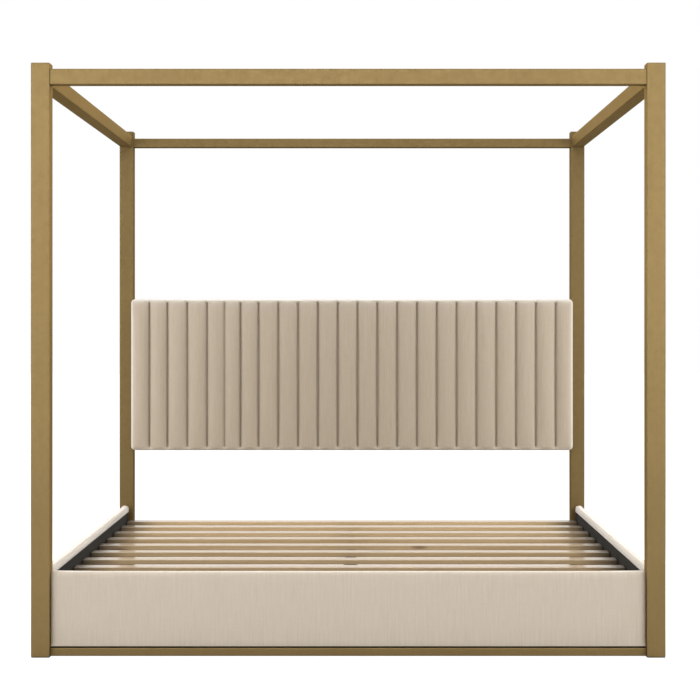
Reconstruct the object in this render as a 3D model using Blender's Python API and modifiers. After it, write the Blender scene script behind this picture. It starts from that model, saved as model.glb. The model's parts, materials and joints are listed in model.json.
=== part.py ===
"""Four poster canopy bed for a king mattress, as an assembly of separate pieces.

Metres, +Z up.  The origin is on the floor under the middle of the bed.
The foot of the bed faces -Y, the head faces +Y, and +X is the right-hand side
for someone who stands at the foot and looks at the headboard.
"""

import math

import bmesh
import bpy
from mathutils import Matrix, Vector

# ---------------------------------------------------------------- driving sizes
WIDTH = 2.032                 # over the posts, along X
LENGTH = 2.219                # over the posts, along Y
HEIGHT = 1.905                # floor to the top of the posts
GAP = 0.0003                  # left between pieces that touch

POST = 0.060                  # side of the square posts
TUBE_WALL = 0.0015
TUBE_RADIUS = 0.0022          # outer corner radius of every square tube
GLIDE_PLATE = 0.003           # thickness of a glide under its post
GLIDE_INSET = 0.001           # from the faces of the post to the edge of its glide
PLUG_DEPTH = 0.018            # how far a glide reaches into its post
WELD_DEPTH = 0.001            # how far pieces joined into one solid sink into each other
STUB_LENGTH = 0.034           # stubs welded to the posts, inside the ends of the rails
STUB_WALL = 0.003
STUB_CORNER = 0.001

CANOPY_RAIL = 0.050           # side of the canopy rails
CANOPY_HEAD_HEIGHT = 0.0385   # the head rail is shallower than the other three
CANOPY_BOTTOM = 1.836
SET_SCREW_INSET = 0.020       # from the end of a canopy rail
SET_SCREW_HOLE = 0.0033

BASE_RAIL_DEPTH = 0.025
BASE_RAIL_HEIGHT = 0.026
BASE_RAIL_BOTTOM = 0.002

PANEL = 0.032                 # thickness of the footboard and the side rails
PANEL_BOTTOM = 0.033
PANEL_TOP = 0.272             # of the side rails
FOOTBOARD_TOP = 0.2755
PANEL_BOARD = 0.018
PANEL_FRONT_PAD = 0.009
PANEL_BOTTOM_WRAP = 0.003
PANEL_TOP_PAD = 0.010
PANEL_CORNER = 0.004          # radius of the lower front edge of a cover
LINING = 0.003
LINING_TOP = 0.243
FOOTBOARD_RECESS = 0.020      # behind the front faces of the foot posts
SIDE_RECESS = 0.008           # inside the outer faces of the posts

STEEL_PLATE = 0.003
SCREW_HOLE = 0.0023           # radius of the small screw holes
PLATE_WIDTH = 0.016           # hook plates, on the ends of the panels' boards
PLATE_HEIGHT = 0.150
PLATE_CENTRE = 0.145
PLATE_SCREW_REACH = 0.045     # screws above and below the middle of a plate
HOOK_REACH = 0.060            # hooks above and below the middle of a plate
HOOK_THICKNESS = 0.004
HOOK_DEPTH = 0.009            # how far a hook reaches into its post
HOOK_TOP = 0.010              # above the centre of a hook
HOOK_ROOT = -0.006            # lower edge of the part that passes through the wall
HOOK_TIP = -0.016             # lower end of the part behind the wall
HOOK_LEAD = 0.002             # slope of the lower end, so that it finds the wall
HOOK_PLAY = 0.0007            # between a hook and the inside of the wall
SLOT_CLEARANCE = 0.0005
SLOT_DROP = 0.010             # extra slot height, for hanging a panel in place

SLAT_COUNT = 10
SLAT_WIDTH = 0.072
SLAT_THICKNESS = 0.018
SLAT_TOP = 0.207
SLAT_PITCH = 0.211
SLAT_FIRST_EDGE = 0.188       # front edge of the first slat, from the foot
SLAT_HALF_LENGTH = 0.9755
SLAT_EDGE = 0.0025            # edge radius
SLAT_SCREW_X = 0.9595         # screws through both ends of a slat into the ledgers
SLAT_SCREW_HEAD = 0.0044      # radius of the recess for a screw head
SLAT_SCREW_SINK = 0.0026      # depth of that recess, down to where it narrows
SLAT_SCREW_HOLE = 0.0024

LEDGER_LEG = 0.030
LEDGER_INSET = 0.012          # from the posts to the ends of a ledger
LEDGER_SCREWS = 7
LEDGER_SCREW_PITCH = 0.330
BEAM = 0.040
CROSS_RAIL_DEPTH = 0.025
CROSS_RAIL_HEIGHT = 0.050
CROSS_RAIL_BOTTOM = 0.140
SADDLE_REACH = 0.045          # length of beam that a saddle holds
SADDLE_HEIGHT = 0.030         # of its cheeks, above the bottom of the beam

LEG_PLACES = (-0.62, 0.0, 0.62)
LEG_INSERT = 0.014            # threaded plug in the bottom of a leg
LEG_BOLT_REACH = 0.025
LEG_BOLT_HOLE = 0.0028
LEG_RADIUS = 0.019
LEG_BOTTOM = 0.030
LEG_FLANGE_RADIUS = 0.031
FOOT_PAD_RADIUS = 0.022
FOOT_PAD_HEIGHT = 0.011
FOOT_PAD_RIM = 0.004          # height of the upright edge of the pad
FOOT_NECK_RADIUS = 0.009
STEM_RADIUS = 0.005
STEM_CLEARANCE = 0.0004
STEM_TOP = 0.085
STEM_CHAMFER = 0.001

HEADBOARD_WIDTH = 1.916
HEADBOARD_BOTTOM = 0.516
HEADBOARD_TOP = 1.171
HEADBOARD_FRONT = 0.9745      # front plane, along Y
HEADBOARD_THICKNESS = 0.065
HEADBOARD_BOARD = 0.018
HEADBOARD_EDGE_PAD = 0.009    # padding round the edges of the board
HEADBOARD_EDGE = 0.012        # radius of the padded edges
HEADBOARD_LINING = 0.001
HEADBOARD_LINING_INSET = 0.004
BRACKET_LOW = 0.560
BRACKET_HIGH = 1.120
BRACKET_BOARD_LEG = 0.055
BRACKET_POST_LEG = 0.042
BRACKET_BOARD_BOLT = 0.032    # bolt lines, from the inner face of the post
BRACKET_POST_BOLT = 0.026     # and from its front face
BRACKET_BOLT_INSET = 0.040    # from the top and bottom of a bracket
BRACKET_BOLT_HOLE = 0.0033

POST_X = (WIDTH - POST) / 2
POST_Y = (LENGTH - POST) / 2
INNER_X = WIDTH / 2 - POST    # inner faces of the posts
INNER_Y = LENGTH / 2 - POST
SLAT_BOTTOM = SLAT_TOP - SLAT_THICKNESS
LEDGER_TOP = SLAT_BOTTOM - GAP
BEAM_BOTTOM = LEDGER_TOP - BEAM

CORNERS = {
    "foot_left": (-1, -1),
    "foot_right": (1, -1),
    "head_left": (-1, 1),
    "head_right": (1, 1),
}
SIDES = {"left": -1, "right": 1}

# ------------------------------------------------------------- scene and groups
for leftover in list(bpy.data.objects):
    bpy.data.objects.remove(leftover, do_unlink=True)

parts = bpy.data.collections.new("four_poster_canopy_bed")
bpy.context.scene.collection.children.link(parts)
cutters = bpy.data.collections.new("cutters")
bpy.context.scene.collection.children.link(cutters)


def make_material(name, colour, roughness, metallic=0.0):
    material = bpy.data.materials.new(name)
    material.use_nodes = True
    shader = material.node_tree.nodes["Principled BSDF"]
    shader.inputs["Base Color"].default_value = (*colour, 1.0)
    shader.inputs["Roughness"].default_value = roughness
    shader.inputs["Metallic"].default_value = metallic
    return material


GOLD = make_material("gold_paint", (0.36, 0.26, 0.11), 0.42, 0.6)
LINEN = make_material("linen", (0.60, 0.52, 0.42), 0.9)
BLACK_CLOTH = make_material("black_cloth", (0.03, 0.026, 0.02), 0.95)
PLYWOOD = make_material("plywood", (0.52, 0.37, 0.21), 0.7)
PINE = make_material("pine", (0.55, 0.39, 0.22), 0.4)
BLACK_STEEL = make_material("black_steel", (0.02, 0.02, 0.02), 0.5, 0.3)
BLACK_PLASTIC = make_material("black_plastic", (0.02, 0.02, 0.02), 0.55)


# --------------------------------------------------------------------- builders
def add_object(name, mesh, material=None, matrix=None, collection=parts):
    """Link a mesh as a named object, at a placement, with one material."""
    item = bpy.data.objects.new(name, mesh)
    if material is not None:
        mesh.materials.clear()
        mesh.materials.append(material)
    if matrix is not None:
        item.matrix_world = matrix
    collection.objects.link(item)
    return item


def evaluated_mesh(holder):
    """The mesh of an object after its modifiers; the holder is removed."""
    bpy.context.view_layer.update()
    depsgraph = bpy.context.evaluated_depsgraph_get()
    mesh = bpy.data.meshes.new_from_object(holder.evaluated_get(depsgraph))
    bpy.data.objects.remove(holder, do_unlink=True)
    return mesh


def face_outward(mesh):
    """Weld coincident points and turn every face outward."""
    work = bmesh.new()
    work.from_mesh(mesh)
    bmesh.ops.remove_doubles(work, verts=work.verts, dist=0.00001)
    bmesh.ops.recalc_face_normals(work, faces=work.faces)
    work.to_mesh(mesh)
    work.free()
    return mesh


def box_mesh(name, low, high):
    """A box between two corners."""
    size = Vector(high) - Vector(low)
    centre = (Vector(high) + Vector(low)) / 2
    work = bmesh.new()
    bmesh.ops.create_cube(work, size=1.0)
    bmesh.ops.scale(work, vec=size, verts=work.verts)
    bmesh.ops.translate(work, vec=centre, verts=work.verts)
    mesh = bpy.data.meshes.new(name)
    work.to_mesh(mesh)
    work.free()
    return mesh


def round_edges(item, radius, segments=2):
    bevel = item.modifiers.new("rounded_edges", "BEVEL")
    bevel.width = radius
    bevel.segments = segments
    bevel.limit_method = "ANGLE"
    return item


def cut(item, cutter, operation="DIFFERENCE"):
    """Leave a Boolean on the item; EXACT is Blender's default solver."""
    boolean = item.modifiers.new(cutter.name, "BOOLEAN")
    boolean.operation = operation
    boolean.object = cutter
    return item


def outline_mesh(name, points, thickness):
    """A closed flat outline in XY, extruded evenly to both sides along Z."""
    curve = bpy.data.curves.new(name, "CURVE")
    curve.dimensions = "2D"
    curve.fill_mode = "BOTH"
    curve.extrude = thickness / 2
    spline = curve.splines.new("POLY")
    spline.points.add(len(points) - 1)
    for point, (x, y) in zip(spline.points, points):
        point.co = (x, y, 0.0, 1.0)
    spline.use_cyclic_u = True
    holder = bpy.data.objects.new(name, curve)
    bpy.context.scene.collection.objects.link(holder)
    return face_outward(evaluated_mesh(holder))


def arc(centre, radius, start_degrees, end_degrees, steps):
    """Points along an arc, both ends included."""
    points = []
    for step in range(steps + 1):
        angle = math.radians(start_degrees + (end_degrees - start_degrees) * step / steps)
        points.append((centre[0] + radius * math.cos(angle), centre[1] + radius * math.sin(angle)))
    return points


def rounded_rectangle(width, height, radius, steps=2):
    """Outline of a rectangle about the origin with round corners."""
    x = width / 2 - radius
    y = height / 2 - radius
    points = []
    for turn, (cx, cy) in enumerate(((x, y), (-x, y), (-x, -y), (x, -y))):
        points += arc((cx, cy), radius, 90 * turn, 90 * turn + 90, steps)
    return points


def turned_mesh(name, profile, steps, closed=False):
    """Turn a profile of (radius, height) points about Z with a Screw modifier."""
    work = bmesh.new()
    corners = [work.verts.new((radius, 0.0, height)) for radius, height in profile]
    for first, second in zip(corners, corners[1:]):
        work.edges.new((first, second))
    if closed:
        work.edges.new((corners[-1], corners[0]))
    mesh = bpy.data.meshes.new(name)
    work.to_mesh(mesh)
    work.free()
    holder = bpy.data.objects.new(name, mesh)
    bpy.context.scene.collection.objects.link(holder)
    screw = holder.modifiers.new("turn", "SCREW")
    screw.axis = "Z"
    screw.steps = steps
    screw.render_steps = steps
    screw.use_merge_vertices = True
    screw.merge_threshold = 0.00005
    return face_outward(evaluated_mesh(holder))


def shade_round(item, degrees=35):
    item.data.shade_smooth()
    item.data.set_sharp_from_angle(angle=math.radians(degrees))
    return item


def copies_mesh(name, mesh, placements):
    """One mesh that holds a separate solid for each placement."""
    work = bmesh.new()
    for placement in placements:
        before = len(work.verts)
        work.from_mesh(mesh)
        work.verts.ensure_lookup_table()
        bmesh.ops.transform(work, matrix=placement, verts=work.verts[before:])
    result = bpy.data.meshes.new(name)
    work.to_mesh(result)
    work.free()
    return result


def as_cutter(name, mesh, placements=(Matrix.Identity(4),)):
    cutter = add_object(name, copies_mesh(name, mesh, placements), collection=cutters)
    cutter.hide_render = True
    cutter.display_type = "WIRE"
    return cutter


def cylinder_mesh(name, radius, low, high, sides=12):
    """A cylinder about Z from one height to another."""
    work = bmesh.new()
    bmesh.ops.create_cone(
        work, cap_ends=True, segments=sides, radius1=radius, radius2=radius, depth=high - low
    )
    bmesh.ops.translate(work, vec=(0, 0, (low + high) / 2), verts=work.verts)
    mesh = bpy.data.meshes.new(name)
    work.to_mesh(mesh)
    work.free()
    return mesh


def at(x, y, z):
    return Matrix.Translation((x, y, z))


def pointing(direction):
    """Rotation that takes +Z to the given direction."""
    return Vector((0, 0, 1)).rotation_difference(Vector(direction)).to_matrix().to_4x4()


def open_side(mesh, directions):
    """Delete the faces of a box that point in the given directions."""
    work = bmesh.new()
    work.from_mesh(mesh)
    ends = [
        face
        for face in work.faces
        if any(face.normal.dot(direction) > 0.9 for direction in directions)
    ]
    bmesh.ops.delete(work, geom=ends, context="FACES_ONLY")
    work.to_mesh(mesh)
    work.free()


def give_wall(item):
    """Thicken an open surface inward into a tube wall."""
    wall = item.modifiers.new("wall", "SOLIDIFY")
    wall.thickness = TUBE_WALL
    wall.offset = -1.0
    wall.use_even_offset = True
    return item


def square_tube(name, centre, length, across, up, axis, material):
    """Open tube along X or Y: a four-sided surface, rounded and given a wall."""
    along = Vector((1, 0, 0)) if axis == "X" else Vector((0, 1, 0))
    size = (length, across, up) if axis == "X" else (across, length, up)
    half = Vector(size) / 2
    mesh = box_mesh(name, -half, half)
    open_side(mesh, (along, -along))
    tube = add_object(name, mesh, material, at(*centre))
    return give_wall(round_edges(tube, TUBE_RADIUS))


# ------------------------------------------------------------------ gold frame
def stub_mesh(across, up):
    """Open-ended stub whose length runs along Z, from the weld at Z = 0."""
    width = across - 2 * TUBE_WALL - 2 * GAP
    height = up - 2 * TUBE_WALL - 2 * GAP
    length = STUB_LENGTH + WELD_DEPTH
    outline = rounded_rectangle(width, height, STUB_CORNER, 1)
    solid = add_object("stub", outline_mesh("stub", outline, length))
    bore = (width / 2 - STUB_WALL, height / 2 - STUB_WALL, length)
    inside = add_object("stub_bore", box_mesh("stub_bore", [-size for size in bore], bore))
    cut(solid, inside)
    mesh = evaluated_mesh(solid)
    bpy.data.objects.remove(inside, do_unlink=True)
    mesh.transform(at(0, 0, length / 2 - WELD_DEPTH))
    return face_outward(mesh)


def rail_layout():
    """Every rail between two posts: axis, centre, depth across it and height."""
    foot_y = -LENGTH / 2 + FOOTBOARD_RECESS + BASE_RAIL_DEPTH / 2
    side_x = WIDTH / 2 - SIDE_RECESS - BASE_RAIL_DEPTH / 2
    base_z = BASE_RAIL_BOTTOM + BASE_RAIL_HEIGHT / 2
    canopy_z = CANOPY_BOTTOM + CANOPY_RAIL / 2
    head_z = CANOPY_BOTTOM + CANOPY_HEAD_HEIGHT / 2
    cross_z = CROSS_RAIL_BOTTOM + CROSS_RAIL_HEIGHT / 2
    canopy = (CANOPY_RAIL, CANOPY_RAIL)
    base = (BASE_RAIL_DEPTH, BASE_RAIL_HEIGHT)
    return {
        "canopy_rail_foot": ("X", (0, -POST_Y, canopy_z), canopy),
        "canopy_rail_head": ("X", (0, POST_Y, head_z), (CANOPY_RAIL, CANOPY_HEAD_HEIGHT)),
        "canopy_rail_left": ("Y", (-POST_X, 0, canopy_z), canopy),
        "canopy_rail_right": ("Y", (POST_X, 0, canopy_z), canopy),
        "base_rail_foot": ("X", (0, foot_y, base_z), base),
        "base_rail_left": ("Y", (-side_x, 0, base_z), base),
        "base_rail_right": ("Y", (side_x, 0, base_z), base),
        "head_cross_rail": ("X", (0, POST_Y, cross_z), (CROSS_RAIL_DEPTH, CROSS_RAIL_HEIGHT)),
    }


def half_span(axis):
    """Half the clear distance between the posts along an axis."""
    return INNER_X if axis == "X" else INNER_Y


def stub_placement(axis, centre, end):
    """At one end of a rail: Z from the post towards the rail's middle, Y up."""
    along = Vector((-end, 0, 0)) if axis == "X" else Vector((0, -end, 0))
    up = Vector((0, 0, 1))
    turn = Matrix((up.cross(along), up, along)).transposed().to_4x4()
    start = Vector(centre) - along * half_span(axis)
    return at(*start) @ turn


def set_screw_holes():
    """Cutter for the holes in the tops of the canopy rails, near their ends."""
    hole = cylinder_mesh("set_screw_hole", SET_SCREW_HOLE, -0.008, 0.004)
    spots = []
    for name, (axis, centre, section) in rail_layout().items():
        if not name.startswith("canopy"):
            continue
        for end in (-1, 1):
            reach = end * (half_span(axis) - SET_SCREW_INSET)
            shift = Vector((reach, 0, section[1] / 2))
            if axis == "Y":
                shift = Vector((0, reach, section[1] / 2))
            spots.append(at(*(Vector(centre) + shift)))
    return as_cutter("set_screw_holes", hole, spots)


def build_post(corner, side, end, screw_holes):
    """Square tube, closed at the top, open at the bottom, with its welded stubs."""
    low = GLIDE_PLATE + GAP
    half = Vector((POST, POST, HEIGHT - low)) / 2
    mesh = box_mesh("post_" + corner, -half, half)
    open_side(mesh, (Vector((0, 0, -1)),))
    post = add_object("post_" + corner, mesh, GOLD, at(side * POST_X, end * POST_Y, low + half.z))
    give_wall(round_edges(post, TUBE_RADIUS))
    stubs = bmesh.new()
    for axis, centre, section in rail_layout().values():
        on_x = axis == "X" and centre[1] * end > 0
        on_y = axis == "Y" and centre[0] * side > 0
        if on_x or on_y:
            stub = stub_mesh(*section)
            stub.transform(stub_placement(axis, centre, side if on_x else end))
            stubs.from_mesh(stub)
    mesh = bpy.data.meshes.new("stubs_" + corner)
    stubs.to_mesh(mesh)
    stubs.free()
    cut(post, as_cutter("stubs_" + corner, mesh), "UNION")
    return cut(post, screw_holes)


def build_glides():
    """Plastic plate and plug in the open bottom of each post, one solid each."""
    plate_size = POST - 2 * GLIDE_INSET
    plate = outline_mesh(
        "glide", rounded_rectangle(plate_size, plate_size, TUBE_RADIUS), GLIDE_PLATE
    )
    plug_size = POST - 2 * TUBE_WALL - 2 * GAP
    plug_outline = rounded_rectangle(plug_size, plug_size, TUBE_RADIUS)
    plug = outline_mesh("plug", plug_outline, PLUG_DEPTH + WELD_DEPTH)
    lower = add_object("glide", plate, matrix=at(0, 0, GLIDE_PLATE / 2))
    middle = GLIDE_PLATE + (PLUG_DEPTH - WELD_DEPTH) / 2
    upper = add_object("plug", plug, matrix=at(0, 0, middle))
    cut(lower, upper, "UNION")
    offset = lower.matrix_world.copy()
    mesh = evaluated_mesh(lower)
    bpy.data.objects.remove(upper, do_unlink=True)
    mesh.transform(offset)
    face_outward(mesh)
    for corner, (side, end) in CORNERS.items():
        place = at(side * POST_X, end * POST_Y, 0)
        add_object("post_glide_" + corner, mesh, BLACK_PLASTIC, place)


def build_rails(screw_holes):
    for name, (axis, centre, section) in rail_layout().items():
        material = BLACK_STEEL if name == "head_cross_rail" else GOLD
        length = 2 * (half_span(axis) - GAP)
        rail = square_tube(name, centre, length, *section, axis, material)
        if name.startswith("canopy"):
            cut(rail, screw_holes)


# --------------------------------------------- upholstered footboard, side rails
def cover_outline(top):
    """C-shaped section of a padded cover: X from the outer face inward, Y is height.

    The cover goes under the board, up the outer face, over the round top and a
    little way down the inner face.
    """
    radius = PANEL / 2
    inner_face = PANEL_FRONT_PAD + GAP + PANEL_BOARD + GAP
    board_top = top - PANEL_TOP_PAD + GAP
    points = arc((PANEL_CORNER, PANEL_BOTTOM + PANEL_CORNER), PANEL_CORNER, 270, 180, 2)
    points += arc((radius, top - radius), radius, 180, 0, 10)
    points += [
        (PANEL, LINING_TOP),
        (inner_face, LINING_TOP),
        (inner_face, board_top),
        (PANEL_FRONT_PAD, board_top),
        (PANEL_FRONT_PAD, PANEL_BOTTOM + PANEL_BOTTOM_WRAP),
        (inner_face, PANEL_BOTTOM + PANEL_BOTTOM_WRAP),
        (inner_face, PANEL_BOTTOM),
    ]
    return points


def hook_plate():
    """Plate against the end of a board, with two hooks that drop into slots in a post.

    X is across the board, Y is up and +Z points into the post; the plate's
    outer face is at Z = 0.
    """
    size = (PLATE_WIDTH / 2, PLATE_HEIGHT / 2)
    plate = add_object(
        "hook_plate", box_mesh("hook_plate", (-size[0], -size[1], -STEEL_PLATE), (*size, 0))
    )
    throat = GAP + TUBE_WALL + HOOK_PLAY
    hook = outline_mesh(
        "hook",
        [
            (-WELD_DEPTH, HOOK_TOP),
            (HOOK_DEPTH, HOOK_TOP),
            (HOOK_DEPTH, HOOK_TIP),
            (throat, HOOK_TIP + HOOK_LEAD),
            (throat, HOOK_ROOT),
            (-WELD_DEPTH, HOOK_ROOT),
        ],
        HOOK_THICKNESS,
    )
    turn = Matrix(((0, 0, -1, 0), (0, 1, 0, 0), (1, 0, 0, 0), (0, 0, 0, 1)))
    places = [at(0, reach, 0) @ turn for reach in (-HOOK_REACH, HOOK_REACH)]
    hooks = add_object("hooks", copies_mesh("hooks", hook, places))
    hole = cylinder_mesh("hole", SCREW_HOLE, -0.01, 0.01)
    spots = [at(0, reach, 0) for reach in (-PLATE_SCREW_REACH, PLATE_SCREW_REACH)]
    holes = add_object("plate_holes", copies_mesh("plate_holes", hole, spots))
    cut(plate, hooks, "UNION")
    cut(plate, holes)
    mesh = evaluated_mesh(plate)
    for helper in (hooks, holes):
        bpy.data.objects.remove(helper, do_unlink=True)
    return face_outward(mesh)


def local_box(name, low, high, matrix, material):
    return add_object(name, box_mesh(name, low, high), material, matrix)


def panel_frames():
    """Each panel's length, top and placement: X inward, Y up and Z along the panel.

    The first of the two names of its ends is the one on its -Z side.
    """
    footboard = Matrix(
        ((0, 0, 1, 0), (1, 0, 0, -LENGTH / 2 + FOOTBOARD_RECESS), (0, 1, 0, 0), (0, 0, 0, 1))
    )
    outer = WIDTH / 2 - SIDE_RECESS
    left = Matrix(((1, 0, 0, -outer), (0, 0, -1, 0), (0, 1, 0, 0), (0, 0, 0, 1)))
    right = Matrix(((-1, 0, 0, outer), (0, 0, 1, 0), (0, 1, 0, 0), (0, 0, 0, 1)))
    return {
        "footboard": (2 * INNER_X, FOOTBOARD_TOP, footboard, ("left", "right")),
        "side_rail_left": (2 * INNER_Y, PANEL_TOP, left, ("head", "foot")),
        "side_rail_right": (2 * INNER_Y, PANEL_TOP, right, ("foot", "head")),
    }


def build_panels(posts):
    """Cover, board, lining and hook plates of the footboard and both side rails."""
    board_low = PANEL_FRONT_PAD + GAP
    board_high = board_low + PANEL_BOARD
    lining_low = board_high + GAP
    bottom = PANEL_BOTTOM + PANEL_BOTTOM_WRAP + GAP
    middle = (board_low + board_high) / 2
    plate_mesh = hook_plate()
    slot_places = []
    for name, (length, top, matrix, ends) in panel_frames().items():
        half = length / 2 - 2 * GAP
        cover = outline_mesh(name + "_pad", cover_outline(top), 2 * half)
        shade_round(add_object(name + "_pad", cover, LINEN, matrix))
        board_half = length / 2 - 3 * GAP - STEEL_PLATE
        low = (board_low, bottom, -board_half)
        high = (board_high, top - PANEL_TOP_PAD, board_half)
        local_box(name + "_board", low, high, matrix, PLYWOOD)
        low = (lining_low, bottom, -board_half)
        high = (lining_low + LINING, LINING_TOP - GAP, board_half)
        local_box(name + "_lining", low, high, matrix, BLACK_CLOTH)
        for end_name, end in zip(ends, (-1, 1)):
            turn = Matrix.Identity(4) if end > 0 else Matrix.Rotation(math.pi, 4, "Y")
            place = matrix @ at(middle, PLATE_CENTRE, end * (length / 2 - GAP)) @ turn
            add_object("hook_plate_%s_%s" % (name, end_name), plate_mesh, BLACK_STEEL, place)
            slot_places += [place @ at(0, reach, 0) for reach in (-HOOK_REACH, HOOK_REACH)]

    side = HOOK_THICKNESS / 2 + SLOT_CLEARANCE
    low = (-side, HOOK_ROOT - SLOT_CLEARANCE, -STEEL_PLATE)
    high = (side, HOOK_TOP + SLOT_DROP + SLOT_CLEARANCE, HOOK_DEPTH + WELD_DEPTH)
    slot = box_mesh("slot", low, high)
    slots = as_cutter("hook_slots", slot, slot_places)
    for post in posts.values():
        cut(post, slots)


# ------------------------------------------- ledgers, centre beam, legs and feet
def build_ledgers():
    """Angle irons along the side rails that carry the ends of the slats."""
    inner = WIDTH / 2 - SIDE_RECESS - (PANEL_FRONT_PAD + PANEL_BOARD + 3 * GAP + LINING)
    angle = [
        (0, 0),
        (0, -LEDGER_LEG),
        (STEEL_PLATE, -LEDGER_LEG),
        (STEEL_PLATE, -STEEL_PLATE),
        (LEDGER_LEG, -STEEL_PLATE),
        (LEDGER_LEG, 0),
    ]
    length = 2 * (INNER_Y - LEDGER_INSET)
    wall_hole = cylinder_mesh("ledger_wall_hole", SCREW_HOLE, -0.004, 0.004, 10)
    slat_hole = cylinder_mesh("ledger_slat_hole", SCREW_HOLE, -0.010, 0.004, 10)
    wall_spots = []
    slat_spots = []
    ledgers = []
    for name, side in SIDES.items():
        mesh = outline_mesh("ledger_" + name, angle, length)
        placement = Matrix(
            ((-side, 0, 0, side * inner), (0, 0, side, 0), (0, 1, 0, LEDGER_TOP), (0, 0, 0, 1))
        )
        ledgers.append(add_object("ledger_" + name, mesh, BLACK_STEEL, placement))
        for step in range(LEDGER_SCREWS):
            y = (step - (LEDGER_SCREWS - 1) / 2) * LEDGER_SCREW_PITCH
            spot = at(side * (inner - STEEL_PLATE), y, LEDGER_TOP - LEDGER_LEG / 2)
            wall_spots.append(spot @ pointing((-side, 0, 0)))
        slat_spots += [at(side * SLAT_SCREW_X, y, LEDGER_TOP) for y in slat_centres()]
    wall_holes = as_cutter("ledger_wall_holes", wall_hole, wall_spots)
    slat_holes = as_cutter("ledger_slat_holes", slat_hole, slat_spots)
    for ledger in ledgers:
        cut(ledger, wall_holes)
        cut(ledger, slat_holes)


def build_centre_beam():
    """Beam down the middle, from the footboard to the cross rail, in two saddles."""
    footboard_back = (
        -LENGTH / 2 + FOOTBOARD_RECESS + PANEL_FRONT_PAD + PANEL_BOARD + LINING + 3 * GAP
    )
    cross_front = POST_Y - CROSS_RAIL_DEPTH / 2
    clearance = STEEL_PLATE + 2 * GAP
    low = footboard_back + clearance
    high = cross_front - clearance
    centre = (0, (low + high) / 2, BEAM_BOTTOM + BEAM / 2)
    beam = square_tube("centre_beam", centre, high - low, BEAM, BEAM, "Y", BLACK_STEEL)
    inner = BEAM / 2 + GAP
    outer = inner + STEEL_PLATE
    floor = BEAM_BOTTOM - GAP - STEEL_PLATE
    cheeks = BEAM_BOTTOM + SADDLE_HEIGHT
    solid = box_mesh("saddle", (-outer, 0, floor), (outer, SADDLE_REACH, cheeks))
    saddle = add_object("saddle", solid)
    hollow = box_mesh("pocket", (-inner, STEEL_PLATE, floor + STEEL_PLATE), (inner, 1, 1))
    pocket = add_object("pocket", hollow)
    cut(saddle, pocket)
    mesh = evaluated_mesh(saddle)
    bpy.data.objects.remove(pocket, do_unlink=True)
    half_turn = Matrix.Rotation(math.pi, 4, "Z")
    add_object("beam_saddle_foot", mesh, BLACK_STEEL, at(0, footboard_back + GAP, 0))
    add_object("beam_saddle_head", mesh, BLACK_STEEL, at(0, cross_front - GAP, 0) @ half_turn)
    return beam


def build_legs(beam):
    """Tube legs flanged to the beam, each with a levelling foot on a threaded stem."""
    top = BEAM_BOTTOM - GAP
    bore = STEM_RADIUS + STEM_CLEARANCE
    inner = LEG_RADIUS - TUBE_WALL
    leg_profile = [
        (LEG_FLANGE_RADIUS, top),
        (LEG_FLANGE_RADIUS, top - STEEL_PLATE),
        (LEG_RADIUS, top - STEEL_PLATE),
        (LEG_RADIUS, LEG_BOTTOM),
        (bore, LEG_BOTTOM),
        (bore, LEG_BOTTOM + LEG_INSERT),
        (inner, LEG_BOTTOM + LEG_INSERT),
        (inner, top),
    ]
    foot_profile = [
        (0.0, STEM_TOP),
        (STEM_RADIUS - STEM_CHAMFER, STEM_TOP),
        (STEM_RADIUS, STEM_TOP - STEM_CHAMFER),
        (STEM_RADIUS, FOOT_PAD_HEIGHT + FOOT_NECK_RADIUS - STEM_RADIUS),
        (FOOT_NECK_RADIUS, FOOT_PAD_HEIGHT),
        (FOOT_PAD_RADIUS - 0.002, FOOT_PAD_RIM + 0.002),
        (FOOT_PAD_RADIUS, FOOT_PAD_RIM),
        (FOOT_PAD_RADIUS, 0.0),
        (0.0, 0.0),
    ]
    hole = cylinder_mesh("leg_bolt_hole", LEG_BOLT_HOLE, -0.012, 0.005, 10)
    spots = [
        at(0, y + shift, top - STEEL_PLATE) @ pointing((0, 0, -1))
        for y in LEG_PLACES
        for shift in (-LEG_BOLT_REACH, LEG_BOLT_REACH)
    ]
    holes = as_cutter("leg_bolt_holes", hole, spots)
    cut(beam, holes)
    for number, y in enumerate(LEG_PLACES, start=1):
        leg_mesh = turned_mesh("support_leg", leg_profile, 24, closed=True)
        leg = add_object("support_leg_%d" % number, leg_mesh, BLACK_STEEL, at(0, y, 0))
        shade_round(cut(leg, holes))
        foot_mesh = turned_mesh("levelling_foot", foot_profile, 24)
        foot = add_object("levelling_foot_%d" % number, foot_mesh, BLACK_PLASTIC, at(0, y, 0))
        shade_round(foot)


# ------------------------------------------------------------------------ slats
def slat_centres():
    """Y of the middle of each slat, from the foot to the head."""
    first = -LENGTH / 2 + SLAT_FIRST_EDGE + SLAT_WIDTH / 2
    return [first + index * SLAT_PITCH for index in range(SLAT_COUNT)]


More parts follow.
